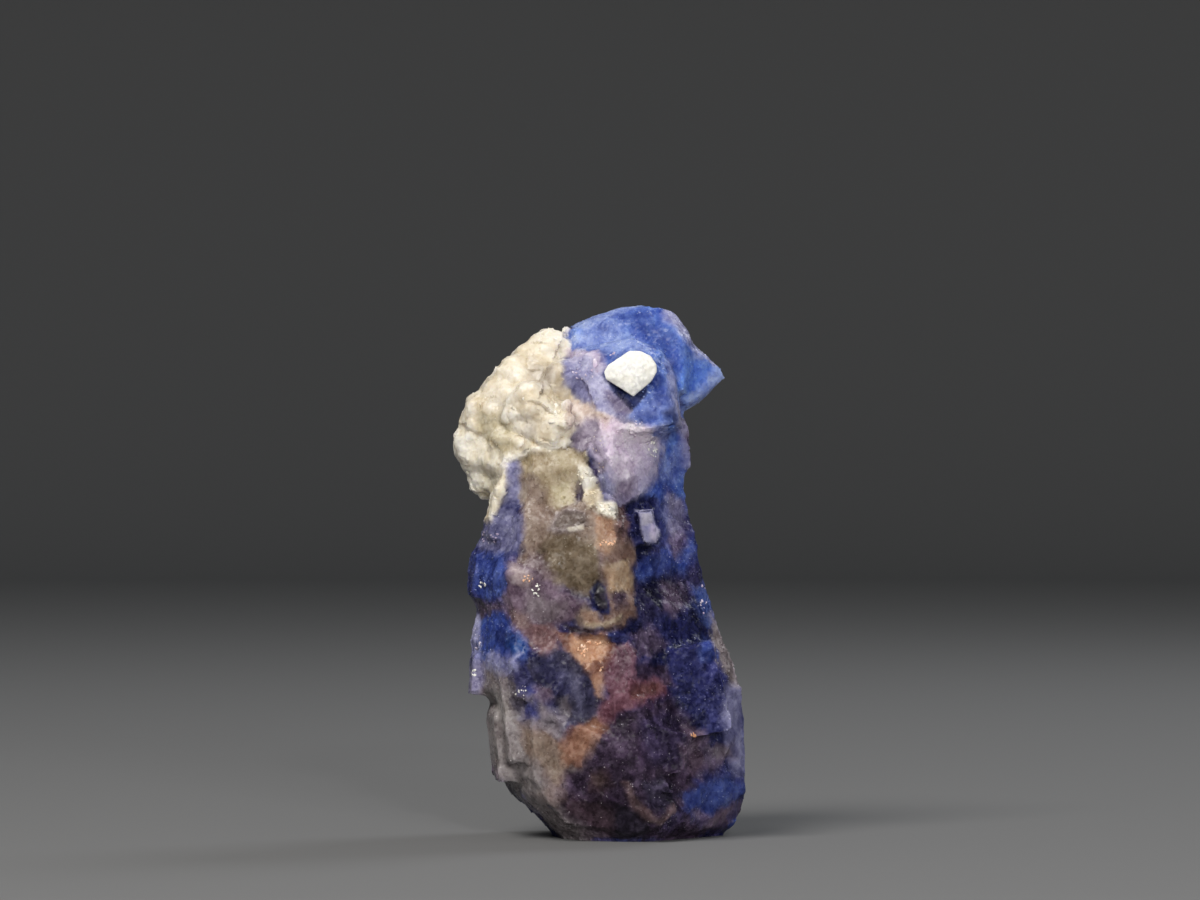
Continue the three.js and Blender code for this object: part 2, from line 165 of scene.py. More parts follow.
ZONES = (
    # The dark right flank and the lower body.
    Zone(Tone.INDIGO, ((640, 480), (690, 475), (700, 560), (742, 690), (747, 780), (700, 828),
         (600, 700), (620, 600)), SUGARY, soft=0.22, reach=1.0),
    Zone(Tone.NAVY, ((632, 575), (660, 572), (700, 580), (716, 612), (722, 650), (706, 660), (712, 700),
         (700, 730), (676, 716), (668, 680), (640, 650), (620, 628)), SUGARY, share=0.85, soft=0.3),
    Zone(Tone.PLUM, ((606, 715), (640, 702), (672, 694), (692, 722), (704, 760), (690, 790), (670, 812),
         (660, 835), (610, 832), (570, 812), (560, 800), (566, 775), (580, 762), (590, 748)), SUGARY,
         soft=0.22, reach=1.5),
    Zone(Tone.NAVY, ((636, 712), (668, 706), (690, 722), (694, 748), (672, 764), (644, 756)), SUGARY,
         share=0.4, soft=0.3),
    Zone(Tone.ROYAL, ((640, 495), (655, 468), (662, 448), (678, 430), (690, 440), (692, 505), (700, 560),
         (680, 575), (660, 560), (655, 500)), SUGARY, soft=0.24),
    Zone(Tone.MAUVE, ((666, 492), (684, 500), (694, 525), (688, 545), (676, 560), (664, 545),
         (670, 520)), SUGARY, share=0.75, soft=0.26),
    Zone(Tone.LAVENDER, ((664, 496), (678, 498), (686, 512), (682, 530), (670, 534), (664, 520)), SUGARY,
         share=0.5, soft=0.22),
    Zone(Tone.MAUVE, ((644, 545), (660, 548), (672, 575), (690, 580), (684, 560), (696, 552), (704, 580),
         (690, 600), (660, 588)), SUGARY, share=0.18, soft=0.26),
    Zone(Tone.ROYAL, ((634, 562), (650, 552), (664, 556), (668, 572), (650, 580), (636, 578)), SUGARY,
         share=0.7, soft=0.26),
    Zone(Tone.NAVY, ((640, 580), (654, 578), (658, 610), (650, 622), (642, 605)), SUGARY, share=0.9,
         soft=0.28),
    Zone(Tone.INK, ((636, 582), (656, 578), (662, 600), (658, 620), (640, 622), (634, 604)), SUGARY,
         share=0.6, soft=0.25),
    Zone(Tone.MAUVE, ((663, 582), (678, 584), (688, 600), (676, 614), (663, 608)), SUGARY, share=0.55,
         soft=0.22),
    Zone(Tone.MAUVE, ((632, 628), (652, 622), (664, 640), (650, 655), (634, 650)), SUGARY, share=0.45,
         soft=0.22),
    Zone(Tone.COBALT, ((692, 586), (703, 580), (716, 612), (720, 630), (708, 625), (696, 605)), SUGARY,
         share=0.4, soft=0.22),
    Zone(Tone.ROYAL, ((700, 636), (716, 640), (722, 656), (710, 662), (698, 654)), SUGARY, share=0.5,
         soft=0.18),
    Zone(Tone.SMOKE, ((710, 612), (722, 632), (734, 655), (744, 684), (740, 695), (728, 678), (718, 660),
         (712, 640)), SUGARY, soft=0.15, reach=2.0),
    Zone(Tone.LAVENDER, ((724, 686), (742, 684), (747, 730), (747, 770), (736, 776), (728, 745),
         (720, 710)), CLEAVED, share=0.45, soft=0.22, reach=2.0),
    Zone(Tone.MAUVE, ((684, 724), (704, 726), (706, 742), (692, 744)), SUGARY, share=0.7, soft=0.18),
    Zone(Tone.MAUVE, ((680, 740), (706, 742), (732, 746), (734, 758), (716, 766), (700, 774),
         (684, 760)), SUGARY, share=0.6, soft=0.22),
    Zone(Tone.SMOKE, ((704, 743), (728, 746), (732, 756), (714, 756)), CLEAVED, share=0.5, soft=0.15,
         rise=0.04),
    Zone(Tone.SLATE, ((640, 775), (662, 772), (676, 790), (664, 806), (648, 800)), SUGARY, share=0.7,
         soft=0.18),
    Zone(Tone.ROYAL, ((678, 790), (700, 782), (728, 778), (742, 790), (728, 804), (700, 810),
         (684, 806)), GLASSY, share=0.6, soft=0.18),
    Zone(Tone.MAUVE, ((690, 806), (715, 810), (740, 800), (746, 812), (728, 824), (700, 828)), CLEAVED,
         share=0.5, soft=0.18, reach=1.5),
    Zone(Tone.UMBER, ((588, 764), (606, 760), (616, 778), (604, 792), (588, 786)), CLEAVED, share=0.8,
         soft=0.18),
    Zone(Tone.TAN, ((590, 768), (602, 766), (608, 776), (598, 782)), CLEAVED, share=0.3, soft=0.15),
    Zone(Tone.UMBER, ((572, 790), (600, 794), (618, 806), (612, 830), (580, 818), (566, 806)), CLEAVED,
         share=0.8, soft=0.22),
    Zone(Tone.TAN, ((622, 774), (630, 776), (636, 792), (648, 806), (658, 812), (672, 800), (676, 806),
         (660, 820), (644, 816), (630, 800)), CLEAVED, share=0.4, soft=0.12, rise=0.04),
    Zone(Tone.INK, ((614, 800), (630, 802), (646, 818), (650, 836), (610, 836)), CLEAVED, soft=0.18,
         reach=1.0),
    # The pale lower left, and the warm patches beside it.
    Zone(Tone.SMOKE, ((484, 664), (504, 662), (514, 680), (518, 712), (526, 730), (544, 760), (556, 806),
         (530, 795), (500, 778), (484, 745)), GLASSY, soft=0.22, reach=1.2),
    Zone(Tone.PEARL, ((488, 680), (512, 684), (522, 720), (540, 760), (548, 796), (520, 786),
         (492, 760)), GLASSY, share=0.22, soft=0.3),
    Zone(Tone.PEARL, ((496, 690), (506, 694), (512, 716), (500, 716)), GLASSY, share=0.35, soft=0.22),
    Zone(Tone.SMOKE, ((514, 690), (536, 694), (560, 706), (566, 730), (548, 750), (528, 730)), GLASSY,
         share=0.8, soft=0.22),
    Zone(Tone.TAN, ((518, 718), (545, 722), (562, 736), (572, 762), (560, 784), (545, 772), (530, 748)),
         GLASSY, share=0.75, soft=0.22),
    Zone(Tone.AMBER, ((556, 738), (570, 724), (588, 712), (606, 710), (608, 726), (596, 736), (588, 750),
         (578, 762), (562, 760)), GLASSY, share=0.85, soft=0.17),
    Zone(Tone.GOLD, ((560, 742), (576, 728), (592, 716), (604, 718), (596, 734), (582, 752), (568, 760)),
         GLASSY, share=0.3, soft=0.2),
    Zone(Tone.KHAKI, ((524, 724), (544, 726), (560, 740), (566, 762), (556, 776), (542, 762),
         (530, 744)), GLASSY, share=0.25, soft=0.25),
    Zone(Tone.TAN, ((546, 776), (560, 784), (566, 796), (552, 800), (540, 790)), GLASSY, share=0.5,
         soft=0.22),
    Zone(Tone.PLUM, ((612, 674), (624, 664), (645, 658), (666, 664), (674, 682), (650, 680), (628, 684)),
         CLEAVED, share=0.9, soft=0.15),
    Zone(Tone.RUST, ((594, 706), (606, 690), (622, 678), (650, 673), (667, 680), (668, 692), (648, 700),
         (626, 706), (606, 720)), CLEAVED, soft=0.15, rise=0.03),
    Zone(Tone.AMBER, ((632, 684), (656, 680), (662, 688), (646, 694), (630, 694)), CLEAVED, share=0.4,
         soft=0.15),
    # The cloudy dark oval and the sparkling hollow left of it.
    Zone(Tone.SLATE, ((526, 656), (545, 648), (562, 648), (578, 655), (592, 670), (597, 692), (595, 710),
         (584, 718), (570, 714), (560, 704), (548, 690), (534, 674)), GLASSY, soft=0.15),
    Zone(Tone.INDIGO, ((534, 654), (556, 652), (570, 668), (572, 690), (556, 692), (540, 674)), GLASSY,
         share=0.45, soft=0.25),
    Zone(Tone.NAVY, ((574, 672), (588, 672), (595, 692), (590, 708), (578, 700)), GLASSY, share=0.4,
         soft=0.22),
    Zone(Tone.LAVENDER, ((562, 664), (572, 666), (582, 688), (584, 710), (574, 714), (574, 696),
         (566, 680)), GLASSY, share=0.22, soft=0.2),
    Zone(Tone.SMOKE, ((560, 700), (566, 690), (572, 706), (568, 722), (560, 716)), GLASSY, share=0.5,
         soft=0.15),
    Zone(Tone.SLATE, ((508, 672), (524, 664), (540, 680), (540, 700), (528, 714), (514, 702)), SUGARY,
         share=0.5, soft=0.18),
    Zone(Tone.INDIGO, ((526, 682), (537, 680), (540, 690), (530, 693)), SUGARY, soft=0.15),
    Zone(Tone.INDIGO, ((524, 700), (536, 698), (538, 712), (527, 714)), SUGARY, soft=0.15),
    Zone(Tone.MAUVE, ((538, 682), (552, 682), (556, 694), (544, 700), (536, 694)), GLASSY, share=0.7,
         soft=0.18),
    # The blue strip down the left.
    Zone(Tone.INDIGO, ((508, 462), (514, 455), (524, 460), (526, 480), (524, 520), (526, 546),
         (512, 562), (508, 580), (508, 600), (500, 614), (482, 612), (472, 600), (464, 575), (470, 552),
         (480, 533), (492, 513), (504, 495)), SUGARY, soft=0.14, reach=1.6),
    Zone(Tone.LAVENDER, ((506, 462), (514, 454), (525, 458), (526, 484), (520, 500), (506, 500)), SUGARY,
         share=0.7, soft=0.22, reach=1.4),
    Zone(Tone.LAVENDER, ((476, 545), (484, 530), (494, 512), (502, 506), (520, 512), (524, 540),
         (508, 552), (488, 548)), SUGARY, share=0.5, soft=0.26, reach=1.4),
    Zone(Tone.ROYAL, ((472, 558), (488, 550), (506, 552), (510, 592), (494, 600), (476, 590)), SUGARY,
         share=0.7, soft=0.22, reach=1.4),
    Zone(Tone.MAUVE, ((476, 602), (490, 600), (512, 598), (514, 612), (498, 616), (480, 618)), SUGARY,
         share=0.7, soft=0.22, reach=1.4),
    Zone(Tone.ROYAL, ((474, 622), (488, 616), (500, 608), (510, 618), (522, 628), (530, 640), (528, 656),
         (512, 666), (490, 664), (470, 656)), SUGARY, soft=0.18, reach=1.4),
    Zone(Tone.NAVY, ((494, 628), (508, 624), (516, 634), (510, 646), (496, 644)), GLASSY, share=0.6,
         soft=0.22),
    Zone(Tone.TEAL, ((510, 640), (520, 632), (528, 640), (526, 654), (514, 656)), GLASSY, share=0.8,
         soft=0.18),
    Zone(Tone.LAVENDER, ((486, 650), (504, 652), (522, 650), (518, 666), (500, 672), (484, 668)), GLASSY,
         share=0.75, soft=0.18, reach=1.2),
    Zone(Tone.LAVENDER, ((468, 620), (478, 612), (482, 630), (480, 655), (486, 672), (480, 698),
         (468, 696)), SUGARY, share=0.7, soft=0.15, reach=1.5),
    Zone(Tone.COBALT, ((664, 428), (682, 430), (691, 468), (692, 500), (680, 496), (662, 480)), SUGARY,
         share=0.75, soft=0.25),
    Zone(Tone.LAVENDER, ((658, 446), (674, 446), (680, 468), (674, 486), (660, 482)), SUGARY, share=0.2,
         soft=0.22),
    # The clear, smoky middle with its crusts.
    Zone(Tone.MAUVE, ((510, 560), (524, 552), (560, 585), (585, 600), (575, 614), (562, 622), (560, 636),
         (552, 650), (534, 644), (514, 624), (507, 600), (507, 576)), GLASSY, soft=0.18),
    Zone(Tone.SMOKE, ((528, 590), (545, 592), (566, 602), (560, 618), (540, 622), (526, 608)), GLASSY,
         share=0.6, soft=0.26),
    Zone(Tone.AMBER, ((526, 626), (545, 622), (562, 628), (560, 644), (544, 650), (530, 642)), GLASSY,
         share=0.5, soft=0.18),
    Zone(Tone.TAN, ((512, 606), (528, 610), (532, 626), (520, 626)), GLASSY, share=0.7, soft=0.18),
    Zone(Tone.BLUSH, ((510, 563), (521, 562), (536, 576), (530, 586), (514, 580)), GLASSY, share=0.45,
         soft=0.18),
    Zone(Tone.FAWN, ((522, 498), (556, 502), (600, 500), (614, 518), (602, 560), (600, 590), (576, 590),
         (545, 575), (520, 556), (524, 530)), GLASSY, soft=0.18),
    Zone(Tone.OLIVE, ((545, 538), (562, 530), (598, 540), (604, 575), (598, 598), (578, 592), (552, 576),
         (534, 560)), GLASSY, share=0.9, soft=0.3),
    Zone(Tone.MAUVE, ((528, 552), (545, 556), (556, 570), (548, 580), (530, 572)), GLASSY, share=0.6,
         soft=0.22),
    Zone(Tone.TAN, ((608, 504), (624, 508), (632, 530), (639, 552), (632, 566), (633, 592), (626, 608),
         (604, 612), (600, 590), (602, 545)), GLASSY, soft=0.15),
    Zone(Tone.GOLD, ((594, 512), (613, 516), (617, 544), (608, 554), (598, 545), (594, 528)), GLASSY,
         share=0.5, soft=0.15),
    Zone(Tone.KHAKI, ((603, 564), (628, 560), (632, 578), (626, 592), (608, 588)), GLASSY, share=0.75,
         soft=0.17),
    Zone(Tone.GOLD, ((603, 566), (628, 562), (632, 578), (626, 590), (608, 586)), GLASSY, share=0.3,
         soft=0.17),
    Zone(Tone.RUST, ((616, 500), (629, 502), (632, 530), (622, 540), (617, 524)), GLASSY, share=0.4,
         soft=0.18),
    Zone(Tone.SMOKE, ((546, 530), (556, 512), (572, 508), (586, 512), (588, 522), (578, 531),
         (560, 533)), GLASSY, share=0.7, soft=0.1, rise=0.05),
    Zone(Tone.OLIVE, ((553, 524), (562, 512), (584, 513), (586, 521), (572, 525), (560, 527)), GLASSY,
         share=0.4, soft=0.1, rise=-0.03),
    # Painted highlight: a white glint line on the gem facet, raised a little.
    Zone(Tone.IVORY, ((567, 527), (583, 524), (584, 528), (570, 531)), GLASSY, share=0.6, soft=0.05,
         rise=0.05),
    Zone(Tone.PLUM, ((610, 590), (625, 591), (627, 604), (614, 610)), GLASSY, share=0.8, soft=0.15),
    Zone(Tone.FAWN, ((573, 612), (584, 601), (597, 607), (606, 620), (592, 627), (576, 622)), GLASSY,
         share=0.9, soft=0.15),
    Zone(Tone.GOLD, ((580, 612), (594, 608), (602, 618), (588, 622)), GLASSY, share=0.3, soft=0.15),
    Zone(Tone.TAN, ((600, 606), (633, 594), (634, 614), (622, 624), (602, 628)), GLASSY, soft=0.12),
    Zone(Tone.PLUM, ((612, 592), (624, 592), (626, 604), (614, 608)), GLASSY, share=0.7, soft=0.15),
    Zone(Tone.NAVY, ((598, 578), (606, 585), (609, 598), (611, 611), (602, 610), (593, 601), (590, 590)),
         CLEAVED, soft=0.06, rise=0.05),
    Zone(Tone.INK, ((598, 582), (606, 589), (608, 606), (600, 606), (594, 594)), CLEAVED, soft=0.05,
         rise=0.05),
    # Painted highlight: a pale line along the ledge's lit rim.
    Zone(Tone.STRAW, ((582, 619), (604, 619), (622, 611), (621, 616), (604, 624), (586, 624)), GLASSY,
         share=0.35, soft=0.06, rise=0.02),
    # Painted shadow: the dark line under the overhanging ledge, over a shallow groove.
    Zone(Tone.UMBER, ((564, 622), (574, 624), (590, 626), (606, 625), (622, 620), (624, 625), (608, 631),
         (588, 631), (570, 629)), GLASSY, share=0.85, soft=0.06, rise=-0.03),
    Zone(Tone.AMBER, ((558, 630), (575, 633), (600, 635), (613, 640), (611, 656), (606, 668), (600, 690),
         (595, 690), (592, 672), (580, 660), (568, 648)), GLASSY, soft=0.15),
    Zone(Tone.GOLD, ((572, 634), (604, 636), (602, 652), (588, 664), (576, 654)), GLASSY, share=0.9,
         soft=0.18),
    Zone(Tone.AMBER, ((611, 644), (625, 639), (635, 650), (633, 666), (620, 673), (610, 664)), GLASSY,
         share=0.6, soft=0.15),
    Zone(Tone.RUST, ((609, 642), (628, 638), (638, 652), (636, 672), (624, 688), (608, 690), (604, 672)),
         GLASSY, share=0.95, soft=0.15),
    Zone(Tone.PLUM, ((614, 644), (632, 642), (636, 660), (632, 672), (616, 672)), GLASSY, share=0.35,
         soft=0.2),
    Zone(Tone.UMBER, ((612, 650), (624, 646), (630, 660), (624, 668), (614, 668)), GLASSY, share=0.25,
         soft=0.2),
    Zone(Tone.GOLD, ((592, 670), (600, 668), (606, 676), (603, 694), (597, 694)), GLASSY, share=0.3,
         soft=0.12),
    # The lavender shoulder and its hollow.
    Zone(Tone.COBALT, ((646, 422), (672, 416), (680, 440), (668, 456), (650, 450)), SUGARY, soft=0.12),
    Zone(Tone.LAVENDER, ((646, 424), (664, 420), (670, 436), (660, 448), (650, 446)), SUGARY, share=0.5,
         soft=0.15),
    Zone(Tone.LAVENDER, ((598, 418), (620, 428), (650, 436), (664, 446), (656, 464), (654, 480),
         (640, 498), (626, 506), (612, 504), (604, 490), (600, 475), (606, 462)), GLASSY, soft=0.15),
    Zone(Tone.LILAC, ((598, 416), (624, 428), (652, 432), (656, 444), (640, 458), (628, 480), (612, 480),
         (602, 446)), GLASSY, share=0.95, soft=0.22),
    # Painted light in part: a lighter lilac that lifts the shoulder out of the forehead's shade.
    Zone(Tone.PETAL, ((590, 406), (606, 410), (620, 420), (636, 424), (653, 430), (654, 440), (640, 446),
         (622, 448), (606, 442), (596, 426)), SUGARY, share=0.75, soft=0.16, rise=0.04),
    Zone(Tone.LILAC, ((602, 440), (650, 444), (654, 470), (638, 492), (616, 496), (606, 470)), GLASSY,
         share=0.6, soft=0.25),
    # Painted light in part: the same lighter lilac, lifting the shoulder's hollow.
    Zone(Tone.PETAL, ((606, 444), (622, 446), (630, 464), (622, 478), (610, 470)), SUGARY, share=0.3,
         soft=0.18),
    Zone(Tone.LILAC, ((634, 446), (654, 444), (656, 458), (644, 470), (634, 462)), SUGARY, share=0.4,
         soft=0.22),
    Zone(Tone.MAUVE, ((614, 482), (632, 478), (638, 496), (624, 508), (608, 500)), GLASSY, share=0.55,
         soft=0.22),
    Zone(Tone.UMBER, ((614, 506), (626, 504), (632, 530), (632, 545), (620, 540)), GLASSY, share=0.45,
         soft=0.15),
    Zone(Tone.NAVY, ((624, 506), (640, 495), (656, 497), (664, 540), (650, 548), (640, 562), (632, 545)),
         SUGARY, soft=0.1, rise=-0.08),
    Zone(Tone.INDIGO, ((655, 500), (664, 504), (668, 545), (658, 548)), SUGARY, share=0.8, soft=0.15),
    Zone(Tone.LAVENDER, ((636, 509), (652, 508), (659, 530), (656, 542), (644, 542), (640, 526)),
         CLEAVED, share=0.75, soft=0.06, rise=-0.02),
    Zone(Tone.PEARL, ((638, 511), (650, 510), (653, 520), (642, 524)), CLEAVED, share=0.4, soft=0.08,
         rise=-0.02),
    Zone(Tone.LILAC, ((651, 522), (657, 530), (655, 540), (650, 538)), CLEAVED, share=0.45, soft=0.08,
         rise=0.02),
    # The pale mass.
    Zone(Tone.CREAM, ((516, 340), (534, 316), (562, 316), (570, 330), (572, 348), (566, 362), (566, 386),
         (576, 398), (592, 406), (606, 418), (584, 420), (572, 436), (560, 448), (524, 450), (509, 462),
         (508, 484), (500, 506), (492, 522), (460, 510), (430, 470), (430, 420), (456, 380), (480, 352)),
         LUMPY, soft=0.12, reach=9.0),
    Zone(Tone.KHAKI, ((521, 456), (546, 446), (574, 446), (586, 456), (588, 470), (576, 484), (572, 502),
         (556, 506), (540, 500), (523, 500)), GLASSY, soft=0.15),
    Zone(Tone.FAWN, ((522, 478), (536, 476), (548, 488), (546, 504), (524, 504)), GLASSY, soft=0.22),
    Zone(Tone.TAN, ((532, 494), (560, 500), (560, 512), (546, 520), (530, 512)), GLASSY, share=0.35,
         soft=0.25),
    Zone(Tone.STRAW, ((553, 488), (570, 484), (571, 500), (558, 504)), GLASSY, share=0.8, soft=0.14),
    Zone(Tone.STRAW, ((556, 452), (576, 450), (580, 464), (566, 472), (556, 464)), GLASSY, share=0.35,
         soft=0.18),
    Zone(Tone.IVORY, ((530, 352), (534, 336), (548, 328), (568, 328), (572, 350), (562, 362),
         (546, 362)), LUMPY, soft=0.15, reach=9.0),
    Zone(Tone.IVORY, ((474, 396), (492, 366), (512, 352), (532, 352), (540, 362), (530, 374), (536, 396),
         (520, 398), (500, 394)), LUMPY, share=0.35, soft=0.18, reach=9.0),
    Zone(Tone.SMOKE, ((532, 364), (550, 366), (557, 376), (557, 393), (541, 394), (530, 380)), LUMPY,
         share=0.45, soft=0.25),
    Zone(Tone.FAWN, ((558, 366), (567, 362), (568, 392), (560, 398)), LUMPY, share=0.3, soft=0.15),
    Zone(Tone.PEARL, ((484, 404), (496, 396), (520, 398), (546, 408), (548, 430), (532, 442), (514, 426),
         (498, 418)), LUMPY, share=0.18, soft=0.18),
    Zone(Tone.FAWN, ((520, 424), (534, 424), (536, 436), (522, 438)), LUMPY, share=0.3, soft=0.15),
    Zone(Tone.STRAW, ((480, 410), (500, 414), (518, 430), (518, 448), (500, 456), (486, 448),
         (478, 428)), LUMPY, share=0.75, soft=0.22),
    Zone(Tone.IVORY, ((454, 440), (472, 424), (482, 440), (484, 458), (478, 476), (462, 470),
         (450, 462)), LUMPY, share=0.8, soft=0.22, reach=3.0),
    Zone(Tone.IVORY, ((452, 424), (484, 440), (500, 452), (502, 490), (492, 512), (470, 506),
         (440, 470)), LUMPY, share=0.8, soft=0.25, reach=3.0),
    Zone(Tone.STRAW, ((482, 474), (500, 464), (509, 478), (505, 498), (494, 512), (484, 500),
         (478, 484)), LUMPY, share=0.3, soft=0.18, reach=3.0),
    Zone(Tone.IVORY, ((490, 456), (512, 454), (530, 450), (552, 438), (572, 442), (560, 448), (536, 454),
         (514, 458), (500, 464)), LUMPY, share=0.8, soft=0.14, rise=0.04),
    Zone(Tone.IVORY, ((549, 402), (562, 400), (580, 404), (592, 412), (580, 424), (566, 436), (556, 438),
         (549, 424)), LUMPY, share=0.75, soft=0.16, rise=0.05),
    Zone(Tone.BLUSH, ((568, 402), (582, 402), (600, 410), (612, 420), (604, 428), (592, 420), (584, 418),
         (574, 432), (566, 430)), SUGARY, share=0.75, soft=0.15, rise=0.03),
    Zone(Tone.LILAC, ((568, 440), (576, 428), (584, 417), (594, 418), (599, 432), (603, 446), (609, 462),
         (606, 472), (597, 466), (588, 450), (578, 447)), GLASSY, share=0.5, soft=0.14),
    Zone(Tone.MAUVE, ((572, 440), (578, 430), (590, 420), (596, 426), (600, 442), (607, 462), (602, 466),
         (592, 450), (580, 445)), GLASSY, share=0.35, soft=0.15),
    Zone(Tone.IVORY, ((579, 466), (590, 468), (594, 482), (590, 492), (581, 484)), LUMPY, share=0.75,
         soft=0.12, rise=0.04),
    Zone(Tone.CREAM, ((583, 486), (598, 484), (602, 498), (592, 508), (584, 500)), LUMPY, share=0.85,
         soft=0.12, rise=0.04),
    Zone(Tone.IVORY, ((596, 500), (612, 500), (615, 519), (604, 516), (597, 510)), LUMPY, share=0.95,
         soft=0.1, rise=0.08),
    # The forehead, the cap and the beak.
    Zone(Tone.COBALT, ((598, 352), (612, 350), (648, 344), (664, 356), (664, 404), (640, 414),
         (612, 400), (600, 380)), SUGARY, share=0.8, soft=0.15),
    Zone(Tone.LAVENDER, ((564, 360), (576, 352), (594, 352), (604, 370), (608, 386), (622, 400),
         (634, 414), (626, 424), (606, 416), (592, 406), (576, 398), (566, 386)), SUGARY, soft=0.18),
    Zone(Tone.MAUVE, ((602, 390), (620, 396), (632, 410), (624, 420), (608, 410)), SUGARY, share=0.55,
         soft=0.17),
    Zone(Tone.LILAC, ((566, 352), (580, 344), (598, 350), (606, 368), (598, 374), (586, 358),
         (572, 360)), GLASSY, share=0.7, soft=0.15),
    Zone(Tone.COBALT, ((656, 352), (668, 352), (674, 380), (680, 426), (652, 430), (628, 418),
         (642, 400), (656, 378)), SUGARY, share=0.75, soft=0.15),
    Zone(Tone.LAVENDER, ((640, 400), (656, 390), (664, 400), (652, 414), (638, 414)), SUGARY, share=0.15,
         soft=0.18),
    Zone(Tone.NAVY, ((605, 380), (620, 388), (632, 397), (640, 391), (650, 381), (652, 384), (645, 394),
         (638, 404), (631, 411), (622, 403), (612, 391)), CLEAVED, share=0.85, soft=0.06, rise=-0.03),
    Zone(Tone.ROYAL, ((644, 366), (660, 360), (666, 396), (668, 424), (640, 424), (640, 404),
         (646, 392)), SUGARY, share=0.4, soft=0.22),
    Zone(Tone.NAVY, ((663, 414), (674, 405), (680, 427), (666, 428)), CLEAVED, share=0.7, soft=0.12),
    Zone(Tone.COBALT, ((563, 338), (578, 322), (622, 302), (660, 300), (692, 326), (732, 377),
         (684, 416), (674, 378), (660, 354), (648, 346), (612, 353), (600, 351), (574, 351)), SUGARY,
         soft=0.12, reach=9.0),
    Zone(Tone.SKY, ((566, 338), (590, 328), (612, 318), (624, 326), (616, 334), (640, 338), (650, 348),
         (612, 353), (574, 351)), SUGARY, share=0.55, soft=0.22, reach=2.0),
    # Painted light: a paler band along the cap's thin rim, for light shining through it.
    Zone(Tone.SKY, ((574, 324), (600, 313), (622, 302), (642, 300), (641, 307), (624, 311), (604, 320),
         (586, 330)), GLASSY, share=0.7, soft=0.15, reach=9.0),
    Zone(Tone.ROYAL, ((602, 324), (612, 322), (614, 332), (604, 334)), SUGARY, share=0.6, soft=0.15),
    Zone(Tone.ROYAL, ((618, 316), (646, 310), (656, 322), (674, 330), (678, 348), (662, 350), (646, 334),
         (626, 326)), GLASSY, share=0.6, soft=0.22, reach=2.0),
    Zone(Tone.COBALT, ((674, 346), (702, 358), (732, 377), (704, 400), (686, 412), (678, 384),
         (668, 362)), GLASSY, soft=0.15, reach=9.0),
    Zone(Tone.ROYAL, ((666, 354), (682, 358), (692, 368), (680, 374), (668, 368)), GLASSY, share=0.45,
         soft=0.22, reach=2.0),
    Zone(Tone.AZURE, ((684, 360), (706, 364), (734, 377), (706, 406), (684, 416), (680, 386)), GLASSY,
         share=0.7, soft=0.22, reach=9.0),
    # Painted light: a pale lavender band along the cap's right rim, for light shining through the thin edge.
    Zone(Tone.LAVENDER, ((660, 304), (680, 310), (697, 330), (704, 352), (722, 366), (712, 366),
         (698, 354), (686, 342), (676, 328), (664, 317)), GLASSY, share=0.85, soft=0.15, reach=9.0),
    # Painted light: a paler band along the beak's thin edge, for light shining through it.
    Zone(Tone.SKY, ((682, 396), (700, 384), (716, 368), (732, 376), (722, 388), (704, 402), (686, 414)),
         GLASSY, share=0.75, soft=0.18, reach=9.0),
    Zone(Tone.LAVENDER, ((664, 358), (672, 366), (680, 404), (688, 428), (694, 470), (684, 472),
         (680, 436), (676, 414), (670, 390)), CLEAVED, share=0.5, soft=0.18, reach=2.5),
)


def unit(values: np.ndarray) -> np.ndarray:
    """Returns each row scaled to a length of one."""
    return values / np.maximum(np.linalg.norm(values, axis=-1, keepdims=True), 1e-9)


def eased(values: np.ndarray, low: float, high: float) -> np.ndarray:
    """Returns 0 below low and 1 above high, with a smooth rise between them."""
    part = np.clip((values - low) / (high - low), 0.0, 1.0)
    return part * part * (3 - 2 * part)


def scatter(cells: np.ndarray, salt: int) -> np.ndarray:
    """Gives each whole-number cell its own repeatable number.

    Args:
        cells: Whole numbers, three to a row.
        salt: Which of the many patterns to give.

    Returns:
        A number from 0 to 1 for each row.
    """
    mixed = np.full(cells.shape[:-1], salt * 374761393 + 668265263, np.uint64)
    for axis, prime in enumerate((73856093, 19349663, 83492791)):
        mixed ^= (cells[..., axis].astype(np.int64) + 4096).astype(np.uint64) * np.uint64(prime)
        mixed = (mixed ^ (mixed >> np.uint64(15))) * np.uint64(2246822519) & np.uint64(0xFFFFFFFF)
        mixed ^= mixed >> np.uint64(13)
    return (mixed & np.uint64(0xFFFFFF)).astype(float) / 0xFFFFFF


def all_round(count: int) -> np.ndarray:
    """Returns directions spread evenly all round."""
    number = np.arange(count) + 0.5
    height = 1 - 2 * number / count
    turn = math.pi * (1 + math.sqrt(5)) * number
    flat = np.sqrt(1 - height * height)
    return np.stack([np.cos(turn) * flat, height, np.sin(turn) * flat], axis=1)


def drift(points: np.ndarray, size: float, salt: int) -> np.ndarray:
    """Smooth random swells.

    Args:
        points: Places, in mm.
        size: How far apart the swells are, in mm.
        salt: Which pattern to give.

    Returns:
        A number from -1 to 1 for each place.
    """
    placed = points / size
    low = np.floor(placed)
    part = placed - low
    part = part * part * (3 - 2 * part)
    total = np.zeros(len(points))
    for corner in np.ndindex(2, 2, 2):
        weight = np.prod(np.where(np.array(corner) == 1, part, 1 - part), axis=1)
        total += weight * scatter(low + np.array(corner), salt)
    return 2 * total - 1


@dataclass(frozen=True)
class Cells:
    """What a cellular pattern gives at each place."""

    rim: np.ndarray
    number: np.ndarray
    other: np.ndarray
    offset: np.ndarray


